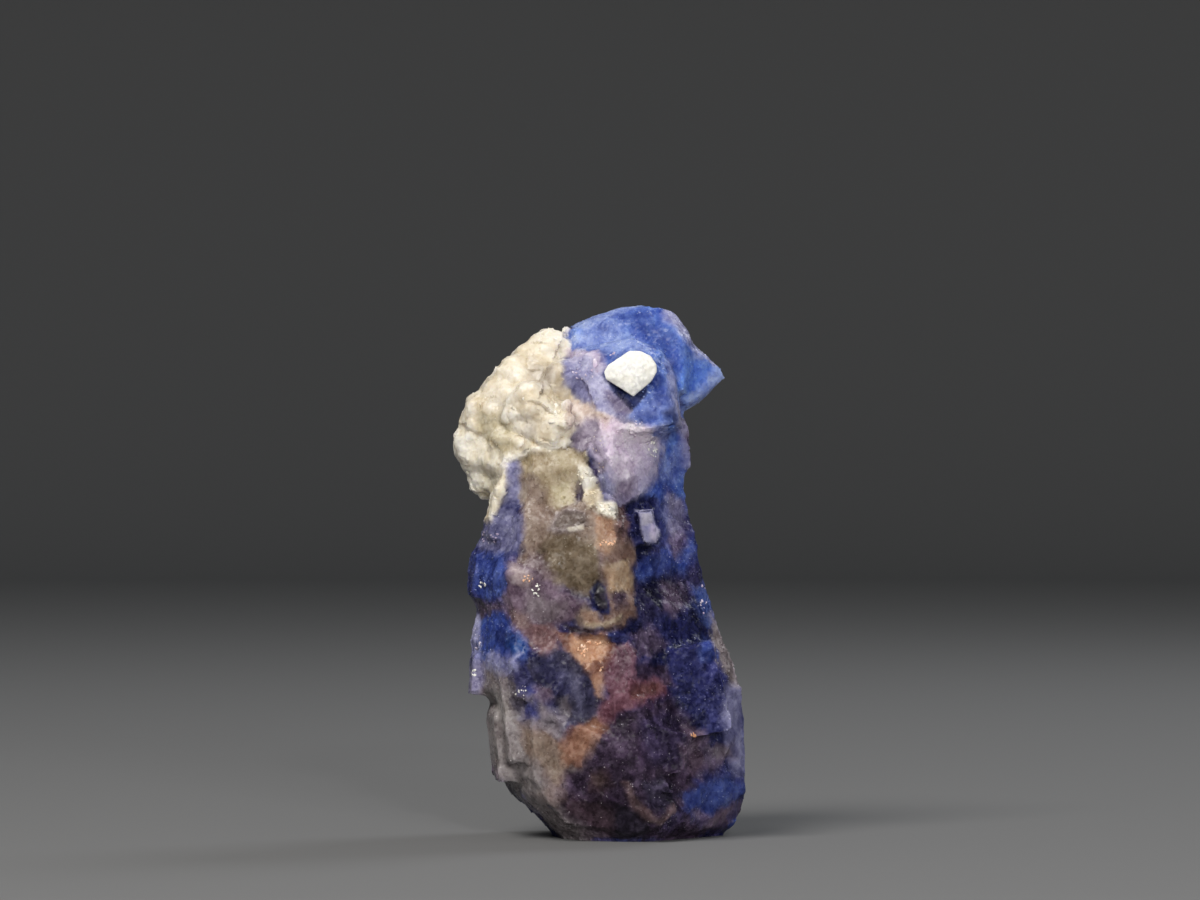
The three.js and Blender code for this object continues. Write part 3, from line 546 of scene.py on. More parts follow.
@dataclass(frozen=True)
class Cellular:
    """A pattern of packed random cells, as broken grains are.

    Attributes:
        size: How far apart the cells' seeds are, in mm, along each axis of the pattern.
        turn: The pattern's axes, as Euler angles in degrees.
        salt: Which pattern to give.
    """

    size: tuple[float, float, float]
    turn: tuple[float, float, float] = (0.0, 0.0, 0.0)
    salt: int = 1

    def at(self, points: np.ndarray) -> Cells:
        """Finds the cell of each place.

        Args:
            points: Places, in mm.

        Returns:
            The distance to the cell's rim, the numbers of the cell and of the next one, and the way from
            the cell's seed.
        """
        axes = np.array(Euler([math.radians(angle) for angle in self.turn]).to_matrix())
        scale = np.array(self.size)
        placed = points @ axes / scale
        low = np.floor(placed)
        near = np.full(len(points), 1e9)
        second = near.copy()
        number, other = np.zeros(len(points)), np.zeros(len(points))
        offset = np.zeros_like(placed)
        for step in np.ndindex(3, 3, 3):
            cell = low + np.array(step) - 1
            seed = cell + np.stack([scatter(cell, self.salt + axis) for axis in range(3)], axis=1)
            away = placed - seed
            distance = np.linalg.norm(away, axis=1)
            own = scatter(cell, self.salt + 7)
            closer = distance < near
            follows = ~closer & (distance < second)
            other = np.where(closer, number, np.where(follows, own, other))
            second = np.where(closer, near, np.minimum(second, distance))
            near = np.where(closer, distance, near)
            number = np.where(closer, own, number)
            offset = np.where(closer[:, None], away, offset)
        return Cells(second - near, number, other, (offset * scale) @ axes.T)

    def raised(self, points: np.ndarray, height: float, lean: float, flat: float, steep: float) -> np.ndarray:
        """Packs leaning, many-sided grains side by side, without gaps or cliffs.

        Args:
            points: Places, in mm.
            height: How much the grains differ in height, in mm.
            lean: The steepest slope of their tops.
            flat: The share of each grain that its flat top takes.
            steep: The slope of their sides.

        Returns:
            The height at each place, in mm, about zero on average.
        """
        axes = np.array(Euler([math.radians(angle) for angle in self.turn]).to_matrix())
        scale = np.array(self.size)
        placed = points @ axes / scale
        low = np.floor(placed)
        best = np.full(len(points), -1e9)
        ways = all_round(10)
        for step in np.ndindex(3, 3, 3):
            cell = low + np.array(step) - 1
            marks = [scatter(cell, self.salt + axis) for axis in range(6)]
            away = placed - cell - np.stack(marks[:3], axis=1)
            along, aside = np.cos(marks[3] * 2 * math.pi), np.sin(marks[3] * 2 * math.pi)
            turned = away.copy()
            turned[:, 0] = along * away[:, 0] + aside * away[:, 2]
            turned[:, 2] = along * away[:, 2] - aside * away[:, 0]
            slope = lean * (turned[:, 0] + (marks[4] - 0.5) * turned[:, 1])
            side = np.maximum(np.max(turned @ ways.T, axis=1) - flat, 0)
            best = np.maximum(best, height * (marks[5] - 0.5) + scale.mean() * (slope - steep * side))
        return best - 0.1 * height


@dataclass(frozen=True)
class Bricks:
    """Cleavage blocks: staggered boxes on the crystal's axes, each standing at its own height.

    Attributes:
        size: The boxes' sizes along the axes, in mm.
        turn: The axes, as Euler angles in degrees.
        salt: Which pattern to give.
    """

    size: tuple[float, float, float]
    turn: tuple[float, float, float]
    salt: int

    def steps(self, points: np.ndarray) -> np.ndarray:
        """Returns a step from -1 to 1 for each place, the same all over a box."""
        axes = np.array(Euler([math.radians(angle) for angle in self.turn]).to_matrix())
        placed = points @ axes / np.array(self.size)
        layer = np.floor(placed[:, 2])
        flat = np.zeros_like(placed)
        flat[:, 2] = layer
        placed[:, 0] += 3 * scatter(flat, self.salt)
        row = np.floor(placed[:, 0])
        flat[:, 0] = row
        placed[:, 1] += 3 * scatter(flat, self.salt + 1)
        flat[:, 1] = np.floor(placed[:, 1])
        return 2 * scatter(flat, self.salt + 2) - 1


def polygon_depth(across: np.ndarray, up: np.ndarray, corners: np.ndarray) -> np.ndarray:
    """Measures how far inside an outline each place is.

    Args:
        across: Places across, in mm.
        up: Heights, in mm.
        corners: The outline's corners, in mm.

    Returns:
        The distance to the outline, in mm, and below zero outside it.
    """
    nearest = np.full(len(across), 1e9)
    inside = np.zeros(len(across), bool)
    for (x0, z0), (x1, z1) in zip(corners, np.roll(corners, -1, axis=0)):
        run, rise = x1 - x0, z1 - z0
        along = np.clip(((across - x0) * run + (up - z0) * rise) / (run * run + rise * rise), 0, 1)
        nearest = np.minimum(nearest, np.hypot(across - x0 - along * run, up - z0 - along * rise))
        crosses = (z0 > up) != (z1 > up)
        inside ^= crosses & (across < x0 + run * (up - z0) / (rise if rise else 1e-9))
    return np.where(inside, nearest, -nearest)


@dataclass
class Paint:
    """What the zones give each place of a skin."""

    tint: np.ndarray
    grain: np.ndarray
    rise: np.ndarray


@dataclass(frozen=True)
class MineralZones:
    """The crystal's zones: those seen in front, and broad random ones that fill its sides and back.

    Attributes:
        zones: The zones of the front, each over the ones before it.
        wander: How far the zones' borders stray, in mm.
        crisp: The fade, in mm, below which a zone's border strays less.
        patch: The size of the random zones, in mm.
        fill: The tones of the random zones.
    """

    zones: tuple[Zone, ...] = ZONES
    wander: float = 0.12
    crisp: float = 0.16
    patch: tuple[float, float, float] = (2.4, 2.2, 3.4)
    fill: tuple[Tone, ...] = (
        Tone.NAVY,
        Tone.INDIGO,
        Tone.NAVY,
        Tone.ROYAL,
        Tone.INDIGO,
        Tone.SLATE,
        Tone.PLUM,
        Tone.SMOKE,
        Tone.ROYAL,
        Tone.MAUVE,
    )

    def paint(self, points: np.ndarray) -> Paint:
        """Works out the colour, the break and the rise of each place.

        Args:
            points: Places on the skin, in mm.

        Returns:
            The tint, the share of each kind of break, and the rise in mm.
        """
        strayed = points - 0.35 * Cellular((0.34, 0.3, 0.38), AXES, 5).at(points).offset
        for axis in range(3):
            strayed[:, axis] += self.wander * drift(points, 0.6, 10 + axis)
            strayed[:, axis] += 0.5 * self.wander * drift(points, 0.25, 15 + axis)
        paint = self.random_zones(strayed)
        for zone in self.zones:
            corners = np.array([(PHOTO.across(column), PHOTO.up(row)) for column, row in zone.outline])
            loose = min(1.0, zone.soft / self.crisp)
            placed = points + loose * (strayed - points)
            depth = polygon_depth(placed[:, 0], placed[:, 2], corners)
            behind = 1 - eased(strayed[:, 1], zone.reach - 0.8, zone.reach + 0.8)
            mask = eased(depth, -zone.soft, zone.soft) * behind
            paint.tint += (zone.share * mask)[:, None] * (np.array(zone.tone.value) - paint.tint)
            paint.grain += mask[:, None] * (np.eye(len(Break))[zone.grain.value] - paint.grain)
            paint.rise += mask * (zone.rise - paint.rise)
        return paint

    def random_zones(self, points: np.ndarray) -> Paint:
        """Fills the whole skin with broad zones of random tones.

        Args:
            points: Places on the skin, in mm.

        Returns:
            Their paint.
        """
        strayed = points + 0.5 * np.stack([drift(points, 1.1, 30 + axis) for axis in range(3)], axis=1)
        cells = Cellular(self.patch, (10, -9, 27), 40).at(strayed)
        tones = np.array([tone.value for tone in self.fill])
        own = tones[(cells.number * len(tones)).astype(int) % len(tones)]
        next_one = tones[(cells.other * len(tones)).astype(int) % len(tones)]
        blend = 0.5 * (1 - eased(cells.rim, 0.0, 0.3))[:, None]
        grain = np.zeros((len(points), len(Break)))
        sugary = cells.number * 37 % 1 > 0.4
        grain[:, Break.SUGARY.value] = sugary
        grain[:, Break.CLEAVED.value] = ~sugary
        return Paint(own + blend * (next_one - own), grain, np.zeros(len(points)))


@dataclass(frozen=True)
class CrystalFinish:
    """The crystal's material: vitreous, a little see-through, with glinting facets and fine mottling.

    Attributes:
        name: The material's name.
        cloud: How much light scatters under the skin.
        cloud_depth: How far it scatters, in mm.
        clear: How much light passes through.
        gloss: The roughness, from the smoothest to the dullest spots.
        glint: How far the finest facets lean.
        glint_size: The size of the finest facets, in mm.
        mottle: How strongly the fine mottling lightens and darkens.
        index: The index of refraction.
        sheen: How strongly the surface mirrors, as Principled counts it.
    """

    name: str
    cloud: float = 0.3
    cloud_depth: float = 0.45
    clear: float = 0.0
    gloss: tuple[float, float] = (0.05, 0.4)
    glint: float = 0.8
    glint_size: float = 0.1
    mottle: float = 0.35
    index: float = 1.53
    sheen: float = 0.36

    def material(self) -> bpy.types.Material:
        """Builds the material.

        Returns:
            A node material that reads the skin's tint and sugar attributes.
        """
        made = bpy.data.materials.new(self.name)
        made.use_nodes = True
        tree = made.node_tree
        tree.nodes.clear()
        new, link = tree.nodes.new, tree.links.new
        output = new("ShaderNodeOutputMaterial")
        shader = new("ShaderNodeBsdfPrincipled")
        link(shader.outputs["BSDF"], output.inputs["Surface"])
        shader.inputs["IOR"].default_value = self.index
        shader.inputs["Specular IOR Level"].default_value = self.sheen
        shader.inputs["Subsurface Weight"].default_value = self.cloud
        shader.inputs["Subsurface Scale"].default_value = self.cloud_depth * MM
        shader.inputs["Subsurface Radius"].default_value = (1.0, 0.9, 1.1)
        shader.inputs["Transmission Weight"].default_value = self.clear
        place = new("ShaderNodeTexCoord")
        tint = new("ShaderNodeAttribute")
        tint.attribute_name = "tint"
        sugar = new("ShaderNodeAttribute")
        sugar.attribute_name = "sugar"
        mottle = new("ShaderNodeGroup")
        mottle.node_tree = mottling()
        mottle.inputs["Amount"].default_value = self.mottle
        link(place.outputs["Object"], mottle.inputs["Place"])
        link(tint.outputs["Color"], mottle.inputs["Tint"])
        link(mottle.outputs["Colour"], shader.inputs["Base Color"])
        glint = new("ShaderNodeGroup")
        glint.node_tree = glinting()
        glint.inputs["Size"].default_value = self.glint_size
        glint.inputs["Lean"].default_value = self.glint
        glint.inputs["Smoothest"].default_value = self.gloss[0]
        glint.inputs["Dullest"].default_value = self.gloss[1]
        normal = new("ShaderNodeNewGeometry")
        link(place.outputs["Object"], glint.inputs["Place"])
        link(sugar.outputs["Fac"], glint.inputs["Sugar"])
        link(sugar.outputs["Fac"], mottle.inputs["Sugar"])
        link(normal.outputs["Normal"], glint.inputs["Normal"])
        link(glint.outputs["Normal"], shader.inputs["Normal"])
        link(glint.outputs["Roughness"], shader.inputs["Roughness"])
        return made


def group(name: str, inputs: Sequence[tuple[str, str, float]], outputs: Sequence[tuple[str, str]]):
    """Starts a shader node group.

    Args:
        name: The group's name.
        inputs: Each input's name, kind and value.
        outputs: Each output's name and kind.

    Returns:
        The tree, its input node and its output node.
    """
    tree = bpy.data.node_groups.new(name, "ShaderNodeTree")
    for label, kind, value in inputs:
        socket = tree.interface.new_socket(label, in_out="INPUT", socket_type=f"NodeSocket{kind}")
        if kind == "Float":
            socket.default_value = value
    for label, kind in outputs:
        tree.interface.new_socket(label, in_out="OUTPUT", socket_type=f"NodeSocket{kind}")
    return tree, tree.nodes.new("NodeGroupInput"), tree.nodes.new("NodeGroupOutput")


def noise(
    tree: bpy.types.NodeTree, place: bpy.types.NodeSocket, size: float, detail: float
) -> bpy.types.NodeSocket:
    """Adds a noise texture to a tree.

    Args:
        tree: The tree.
        place: The socket that gives the place.
        size: How far apart the swells are, in mm.
        detail: How many finer layers it has.

    Returns:
        Its value's socket.
    """
    made = tree.nodes.new("ShaderNodeTexNoise")
    made.inputs["Scale"].default_value = 1 / (size * MM)
    made.inputs["Detail"].default_value = detail
    made.inputs["Roughness"].default_value = 0.6
    tree.links.new(place, made.inputs["Vector"])
    return made.outputs["Fac"]


def maths(tree: bpy.types.NodeTree, kind: str, *values: float | bpy.types.NodeSocket) -> bpy.types.NodeSocket:
    """Adds a maths node to a tree.

    Args:
        tree: The tree.
        kind: The node's operation.
        values: Its inputs, as numbers or sockets.

    Returns:
        Its result's socket.
    """
    made = tree.nodes.new("ShaderNodeMath")
    made.operation = kind
    for slot, value in zip(made.inputs, values):
        if isinstance(value, bpy.types.NodeSocket):
            tree.links.new(value, slot)
        else:
            slot.default_value = value
    return made.outputs[0]


def threshold(
    tree: bpy.types.NodeTree, value: bpy.types.NodeSocket, low: float, high: float
) -> bpy.types.NodeSocket:
    """Adds a node that turns a value into 0 below a low mark and 1 above a high one.

    Args:
        tree: The tree.
        value: The value's socket.
        low: The low mark.
        high: The high mark.

    Returns:
        Its result's socket.
    """
    made = tree.nodes.new("ShaderNodeMapRange")
    made.inputs["From Min"].default_value = low
    made.inputs["From Max"].default_value = high
    tree.links.new(value, made.inputs["Value"])
    return made.outputs["Result"]


def mixed(
    tree: bpy.types.NodeTree,
    share: bpy.types.NodeSocket,
    one: bpy.types.NodeSocket,
    other: bpy.types.NodeSocket,
) -> bpy.types.NodeSocket:
    """Adds a colour mix to a tree.

    Args:
        tree: The tree.
        share: The socket that gives the second colour's share.
        one: The first colour's socket.
        other: The second colour's socket.

    Returns:
        The mixed colour's socket.
    """
    made = tree.nodes.new("ShaderNodeMix")
    made.data_type = "RGBA"
    tree.links.new(share, made.inputs["Factor"])
    slots = [slot for slot in made.inputs if slot.type == "RGBA"]
    tree.links.new(one, slots[0])
    tree.links.new(other, slots[1])
    return next(slot for slot in made.outputs if slot.type == "RGBA")


def mottling() -> bpy.types.NodeTree:
    """Makes the group that mottles a tint: clouds and single grains deepen it, and fine flecks pale it.

    Returns:
        The group, made once.
    """
    if "mottling" in bpy.data.node_groups:
        return bpy.data.node_groups["mottling"]
    tree, given, out = group(
        "mottling",
        [("Place", "Vector", 0), ("Tint", "Color", 0), ("Amount", "Float", 0.35), ("Sugar", "Float", 0.5)],
        [("Colour", "Color")],
    )
    place = given.outputs["Place"]
    grains = tree.nodes.new("ShaderNodeTexVoronoi")
    grains.inputs["Scale"].default_value = 1 / (0.14 * MM)
    tree.links.new(place, grains.inputs["Vector"])
    split = tree.nodes.new("ShaderNodeSeparateColor")
    tree.links.new(grains.outputs["Color"], split.inputs["Color"])
    clouds = maths(tree, "MULTIPLY_ADD", noise(tree, place, 0.4, 5), 4.0, -2.0)
    single = maths(tree, "MULTIPLY_ADD", split.outputs["Red"], 0.9, -0.45)
    swing = maths(tree, "MULTIPLY", maths(tree, "ADD", clouds, single), given.outputs["Amount"])
    power = maths(tree, "MAXIMUM", maths(tree, "ADD", swing, 1.0), 0.35)
    deep = tree.nodes.new("ShaderNodeGamma")
    tree.links.new(given.outputs["Tint"], deep.inputs["Color"])
    tree.links.new(power, deep.inputs["Gamma"])
    pale = tree.nodes.new("ShaderNodeGamma")
    pale.inputs["Gamma"].default_value = 0.7
    tree.links.new(given.outputs["Tint"], pale.inputs["Color"])
    flecks = tree.nodes.new("ShaderNodeTexVoronoi")
    flecks.inputs["Scale"].default_value = 1 / (0.085 * MM)
    tree.links.new(place, flecks.inputs["Vector"])
    chance = tree.nodes.new("ShaderNodeSeparateColor")
    tree.links.new(flecks.outputs["Color"], chance.inputs["Color"])
    chosen = threshold(tree, chance.outputs["Green"], 0.74, 0.9)
    core = maths(tree, "MULTIPLY_ADD", threshold(tree, flecks.outputs["Distance"], 0.3, 0.55), -1.0, 1.0)
    where = threshold(tree, noise(tree, place, 0.7, 2), 0.4, 0.66)
    sparse = maths(tree, "MULTIPLY", maths(tree, "MULTIPLY", chosen, core), where)
    share = maths(tree, "MULTIPLY", sparse, given.outputs["Sugar"])
    tree.links.new(mixed(tree, share, deep.outputs["Color"], pale.outputs["Color"]), out.inputs["Colour"])
    return tree


def glinting() -> bpy.types.NodeTree:
    """Makes the group for the finest facets: each leans its own way and has its own polish.

    Returns:
        The group, made once.
    """
    if "glinting" in bpy.data.node_groups:
        return bpy.data.node_groups["glinting"]
    tree, given, out = group(
        "glinting",
        [
            ("Place", "Vector", 0),
            ("Normal", "Vector", 0),
            ("Sugar", "Float", 0.5),
            ("Size", "Float", 0.13),
            ("Lean", "Float", 0.5),
            ("Smoothest", "Float", 0.15),
            ("Dullest", "Float", 0.4),
        ],
        [("Normal", "Vector"), ("Roughness", "Float")],
    )
    new, link = tree.nodes.new, tree.links.new
    metres = new("ShaderNodeMath")
    metres.operation = "DIVIDE"
    metres.inputs[0].default_value = 1 / MM
    link(given.outputs["Size"], metres.inputs[1])
    facets = new("ShaderNodeTexVoronoi")
    link(given.outputs["Place"], facets.inputs["Vector"])
    link(metres.outputs[0], facets.inputs["Scale"])
    centred = new("ShaderNodeVectorMath")
    centred.operation = "SUBTRACT"
    centred.inputs[1].default_value = (0.5, 0.5, 0.5)
    link(facets.outputs["Color"], centred.inputs[0])
    strength = new("ShaderNodeMath")
    strength.operation = "MULTIPLY"
    link(given.outputs["Sugar"], strength.inputs[0])
    link(given.outputs["Lean"], strength.inputs[1])
    lean = new("ShaderNodeVectorMath")
    lean.operation = "SCALE"
    link(centred.outputs["Vector"], lean.inputs[0])
    link(strength.outputs[0], lean.inputs["Scale"])
    turned = new("ShaderNodeVectorMath")
    turned.operation = "ADD"
    link(given.outputs["Normal"], turned.inputs[0])
    link(lean.outputs["Vector"], turned.inputs[1])
    straight = new("ShaderNodeVectorMath")
    straight.operation = "NORMALIZE"
    link(turned.outputs["Vector"], straight.inputs[0])
    link(straight.outputs["Vector"], out.inputs["Normal"])
    split = new("ShaderNodeSeparateColor")
    link(facets.outputs["Color"], split.inputs["Color"])
    polish = new("ShaderNodeMapRange")
    link(maths(tree, "POWER", split.outputs["Blue"], 0.35), polish.inputs["Value"])
    link(given.outputs["Smoothest"], polish.inputs["To Min"])
    link(given.outputs["Dullest"], polish.inputs["To Max"])
    link(polish.outputs["Result"], out.inputs["Roughness"])
    return tree


def skin_of(node: bpy.types.Object, voxel: float) -> bmesh.types.BMesh:
    """Remeshes a CAD node's copy into an even skin.

    Args:
        node: The CAD node's object.
        voxel: The skin's grid, in mm.

    Returns:
        A bmesh of quads, in mm.
    """
    source = bmesh.new()
    source.from_mesh(node.data)
    bmesh.ops.remove_doubles(source, verts=source.verts, dist=1e-7)
    bmesh.ops.scale(source, vec=(1 / MM,) * 3, verts=source.verts)
    bmesh.ops.recalc_face_normals(source, faces=source.faces)
    mesh = bpy.data.meshes.new("rough")
    source.to_mesh(mesh)
    source.free()
    rough = bpy.data.objects.new("rough", mesh)
    bpy.context.scene.collection.objects.link(rough)
    remesh = rough.modifiers.new("skin", "REMESH")
    remesh.mode = "VOXEL"
    remesh.voxel_size = voxel
    remesh.adaptivity = 0
    evaluated = rough.evaluated_get(bpy.context.evaluated_depsgraph_get())
    skin = bmesh.new()
    skin.from_mesh(evaluated.to_mesh())
    evaluated.to_mesh_clear()
    bpy.data.objects.remove(rough)
    bpy.data.meshes.remove(mesh)
    return skin


def places(mesh: bpy.types.Mesh) -> np.ndarray:
    """Returns the vertices' places."""
    values = np.empty(len(mesh.vertices) * 3, np.float32)
    mesh.vertices.foreach_get("co", values)
    return values.reshape(-1, 3).astype(float)


def normals(mesh: bpy.types.Mesh) -> np.ndarray:
    """Returns the vertices' normals."""
    values = np.empty(len(mesh.vertices) * 3, np.float32)
    mesh.vertices.foreach_get("normal", values)
    return values.reshape(-1, 3).astype(float)


def edges(mesh: bpy.types.Mesh) -> np.ndarray:
    """Returns the two vertices of each edge."""
    values = np.empty(len(mesh.edges) * 2, np.int32)
    mesh.edges.foreach_get("vertices", values)
    return values.reshape(-1, 2)


def neighbour_mean(values: np.ndarray, links: np.ndarray) -> np.ndarray:
    """Averages a value over each vertex's neighbours.

    Args:
        values: One row for each vertex.
        links: The two vertices of each edge.

    Returns:
        The mean over the neighbours, in the same shape.
    """
    total = np.zeros_like(values)
    count = np.zeros(len(values))
    for one, other in ((0, 1), (1, 0)):
        np.add.at(total, links[:, one], values[links[:, other]])
        np.add.at(count, links[:, one], 1)
    return total / np.maximum(count, 1).reshape(-1, *([1] * (values.ndim - 1)))


def tree_of(mesh: bpy.types.Mesh) -> BVHTree:
    """Makes a search tree of a finished skin.

    Args:
        mesh: The skin, in metres.

    Returns:
        The tree, in mm.
    """
    copy = bmesh.new()
    copy.from_mesh(mesh)
    bmesh.ops.scale(copy, vec=(1 / MM,) * 3, verts=copy.verts)
    tree = BVHTree.FromBMesh(copy)
    copy.free()
    return tree


@dataclass
class CrystalSkin:
    """The crystal's whole skin, as one mesh that stands for the CAD solid.

    Attributes:
        voxel: The grid of the remeshed skin, in mm.
        axes: The crystal's axes, as Euler angles in degrees.
        foot: Height below which the skin keeps the CAD's form, in mm.
        most: The furthest that the breakage moves the skin, in mm.
        swing: How far a tint may lighten or darken, as a natural logarithm.
        finishes: The finishes of its dark grains, its pale lumps and its clear grains.
    """

    zones: MineralZones = field(default_factory=MineralZones)
    voxel: float = 0.146
    axes: tuple[float, float, float] = AXES
    foot: float = 0.5
    most: float = 0.22
    swing: float = 0.5
    finishes: tuple[CrystalFinish, ...] = (
        CrystalFinish(
            "carletonite",
            cloud=0.35,
            cloud_depth=0.5,
            clear=0.05,
            gloss=(0.08, 0.42),
            glint=0.5,
            sheen=0.16,
            mottle=0.22,
        ),
        CrystalFinish("pale_matrix", cloud=0.5, cloud_depth=0.55, gloss=(0.12, 0.5), glint=0.6, mottle=0.26),
        CrystalFinish(
            "clear_grains",
            cloud=0.5,
            cloud_depth=0.6,
            clear=0.1,
            gloss=(0.1, 0.42),
            sheen=0.22,
            mottle=0.22,
        ),
    )

    def build(self) -> bpy.types.Object:
        """Builds the skin.

        Returns:
            The finished piece, riding on the body in place of the CAD node.
        """
        skin = skin_of(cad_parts[NODE], self.voxel)
        facing = [face for face in skin.faces if face.normal.y < -0.15]
        rim = list({edge for face in facing for edge in face.edges})
        bmesh.ops.subdivide_edges(skin, edges=rim, cuts=1, use_grid_fill=True)
        bmesh.ops.triangulate(skin, faces=skin.faces)
        mesh = bpy.data.meshes.new("crystal")
        skin.to_mesh(mesh)
        skin.free()
        self.shape(mesh)
        piece = bpy.data.objects.new("crystal", mesh)
        bpy.context.scene.collection.objects.link(piece)
        for finish in self.finishes:
            mesh.materials.append(finish.material())
        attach(piece, BODY)
        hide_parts(NODE)
        return piece

    def shape(self, mesh: bpy.types.Mesh) -> None:
        """Breaks the skin's surface and stores its tint and sugar.

        Args:
            mesh: The skin, in mm. It is in metres when this is done.
        """
        points, links = places(mesh), edges(mesh)
        ways = normals(mesh)
        for _ in range(3):
            ways = unit(ways + neighbour_mean(ways, links))
        paint = self.zones.paint(points)
        height = self.breakage(points, paint)
        height *= eased(points[:, 2], 0.05, self.foot)
        moved = points + ways * np.clip(height, -self.most, self.most)[:, None]
        moved[:, 2] = np.maximum(moved[:, 2], 0.0)
        moved[points[:, 2] < 0.09, 2] = 0.0
        # The tint carries painted highlight on ridges and swells and painted shade in hollows and pits.
        tint = self.deepened_and_shaded(points, moved, ways, links, paint)
        colours = np.concatenate([tint, np.ones((len(points), 1))], axis=1).astype(np.float32)
        mesh.attributes.new("tint", "FLOAT_COLOR", "POINT").data.foreach_set("color", colours.ravel())
        sugar = paint.grain @ np.array([0.5, 1.0, 0.45, 0.5])
        sugar = (sugar * eased(paint.tint.max(axis=1), 0.0, 0.06)).astype(np.float32)
        mesh.attributes.new("sugar", "FLOAT", "POINT").data.foreach_set("value", sugar)
        self.share_out(mesh, paint)
        mesh.vertices.foreach_set("co", (moved * MM).astype(np.float32).ravel())
        mesh.update()
        mesh.set_sharp_from_angle(angle=math.radians(24))

    def share_out(self, mesh: bpy.types.Mesh, paint: Paint) -> None:
        """Gives each face the finish of the way it breaks.

        Args:
            mesh: The skin.
            paint: The zones' paint at its vertices.
        """
        corners = np.empty(len(mesh.loops), np.int32)
        mesh.loops.foreach_get("vertex_index", corners)
        kind = np.argmax(paint.grain[corners.reshape(-1, 3)].mean(axis=1), axis=1)
        finish = np.select([kind == Break.LUMPY.value, kind == Break.GLASSY.value], [1, 2], 0)
        mesh.polygons.foreach_set("material_index", finish.astype(np.int32))

    def breakage(self, points: np.ndarray, paint: Paint) -> np.ndarray:
        """Works out how far the surface stands in or out.

        Args:
            points: Places on the skin, in mm.
            paint: The zones' paint there.

        Returns:
            The height at each place, in mm.
        """
        cleaved = 0.03 * Bricks((1.5, 0.9, 2.3), self.axes, 50).steps(points)
        cleaved += Cellular((0.8, 0.6, 1.0), self.axes, 70).raised(points, 0.05, 0.16, 0.25, 0.3)
        cleaved += 0.02 * drift(points, 0.7, 75) + 0.01 * drift(points, 0.2, 76)
        sugary = Cellular((0.5, 0.4, 0.55), self.axes, 78).raised(points, 0.03, 0.2, 0.15, 0.3)
        sugary += 0.045 * drift(points, 0.75, 79) + 0.014 * drift(points, 0.22, 80)
        lumpy = Cellular((1.3, 1.2, 1.1), (0, 20, 0), 100).raised(points, 0.09, 0.28, 0.16, 0.4) + 0.07
        lumpy += Cellular((0.55, 0.5, 0.5), (0, 0, 0), 110).raised(points, 0.02, 0.22, 0.15, 0.25)
        lumpy += 0.015 * drift(points, 0.8, 115)
        glassy = Cellular((0.9, 0.8, 0.8), self.axes, 117).raised(points, 0.04, 0.12, 0.3, 0.2)
        glassy += 0.03 * drift(points, 0.9, 120) + 0.008 * drift(points, 0.3, 121)
        kinds = np.stack([cleaved, sugary, lumpy, glassy], axis=1)
        return np.sum(kinds * paint.grain, axis=1) + paint.rise

    def deepened_and_shaded(
        self, points: np.ndarray, moved: np.ndarray, ways: np.ndarray, links: np.ndarray, paint: Paint
    ) -> np.ndarray:
        """Deepens and pales the tint at random by clouds and single facets, pales it on ridges and swells as
        painted highlight, and darkens hollows and pits as painted shade.

        Args:
            points: Places on the skin before it broke, in mm.
            moved: The same places after it.
            ways: The way out of the skin at each.
            links: The two vertices of each edge.
            paint: The zones' paint there.

        Returns:
            The tint in linear light.
        """
        near = neighbour_mean(moved, links)
        ridge = np.sum((moved - near) * ways, axis=1) / self.voxel
        broad = moved.copy()
        for _ in range(24):
            broad = 0.4 * broad + 0.6 * neighbour_mean(broad, links)
        swell = np.sum((moved - broad) * ways, axis=1)
        facets = Cellular((0.42, 0.36, 0.5), self.axes, 130).at(points)
        clouds = 0.55 * drift(points, 0.9, 140) + 0.35 * drift(points, 0.4, 141)
        clouds += 0.25 * drift(points, 0.2, 142)
        vary = paint.grain @ np.array([0.8, 1.0, 0.9, 0.5])
        depth = 1 + vary * (0.6 * clouds + 0.24 * (2 * facets.number - 1))
        # Ridges pale, partly as whitened broken edges and partly as painted highlight; swells pale and
        # hollows deepen as painted light and shade.
        depth -= 0.15 * np.clip(ridge * 2.2, -0.8, 1)
        depth -= np.clip(swell / 0.15, -0.3, 1) * 0.3
        shift = (np.clip(depth, 0.4, 1.7) - 1)[:, None] * np.log(paint.tint)
        tint = paint.tint * np.exp(self.swing * np.tanh(shift / self.swing))
        # Painted shade: pits and creases darken by up to three tenths.
        pit_shade = np.clip(-ridge * 2.0, 0, 1)[:, None]
        return np.clip(tint * (1 - 0.3 * pit_shade), 0.003, 0.92)


@dataclass(frozen=True)
class FrontProbe:
    """Finds the skin behind a place in the photograph."""

    tree: BVHTree

    def at(self, column: float, row: float) -> tuple[Vector, Vector]:
        """Finds the skin at a pixel.

        Args:
            column: The pixel's column.
            row: The pixel's row.

        Returns:
            The place on the skin, in mm, and the way out of it.
        """
        start = Vector((PHOTO.across(column), -9.0, PHOTO.up(row)))
        hit, way, _, _ = self.tree.ray_cast(start, Vector((0, 1, 0)))
        if hit is None:
            hit, way, _, _ = self.tree.find_nearest(start + Vector((0, 8, 0)))
        return hit, way


@dataclass(frozen=True)
class Cluster:
    """A cluster of small angular grains seen in the photograph; some clusters are painted glints and
    sparkles.

    Attributes:
        tone: Their colour.
        column: The pixel column of the cluster's middle.
        row: The pixel row of its middle.
        spread: Its half width and half height, in pixels.
        count: How many grains it has.
        size: The smallest and the largest grain, in mm.
    """

    tone: Tone
    column: float
    row: float
    spread: tuple[float, float]
    count: int
    size: tuple[float, float]


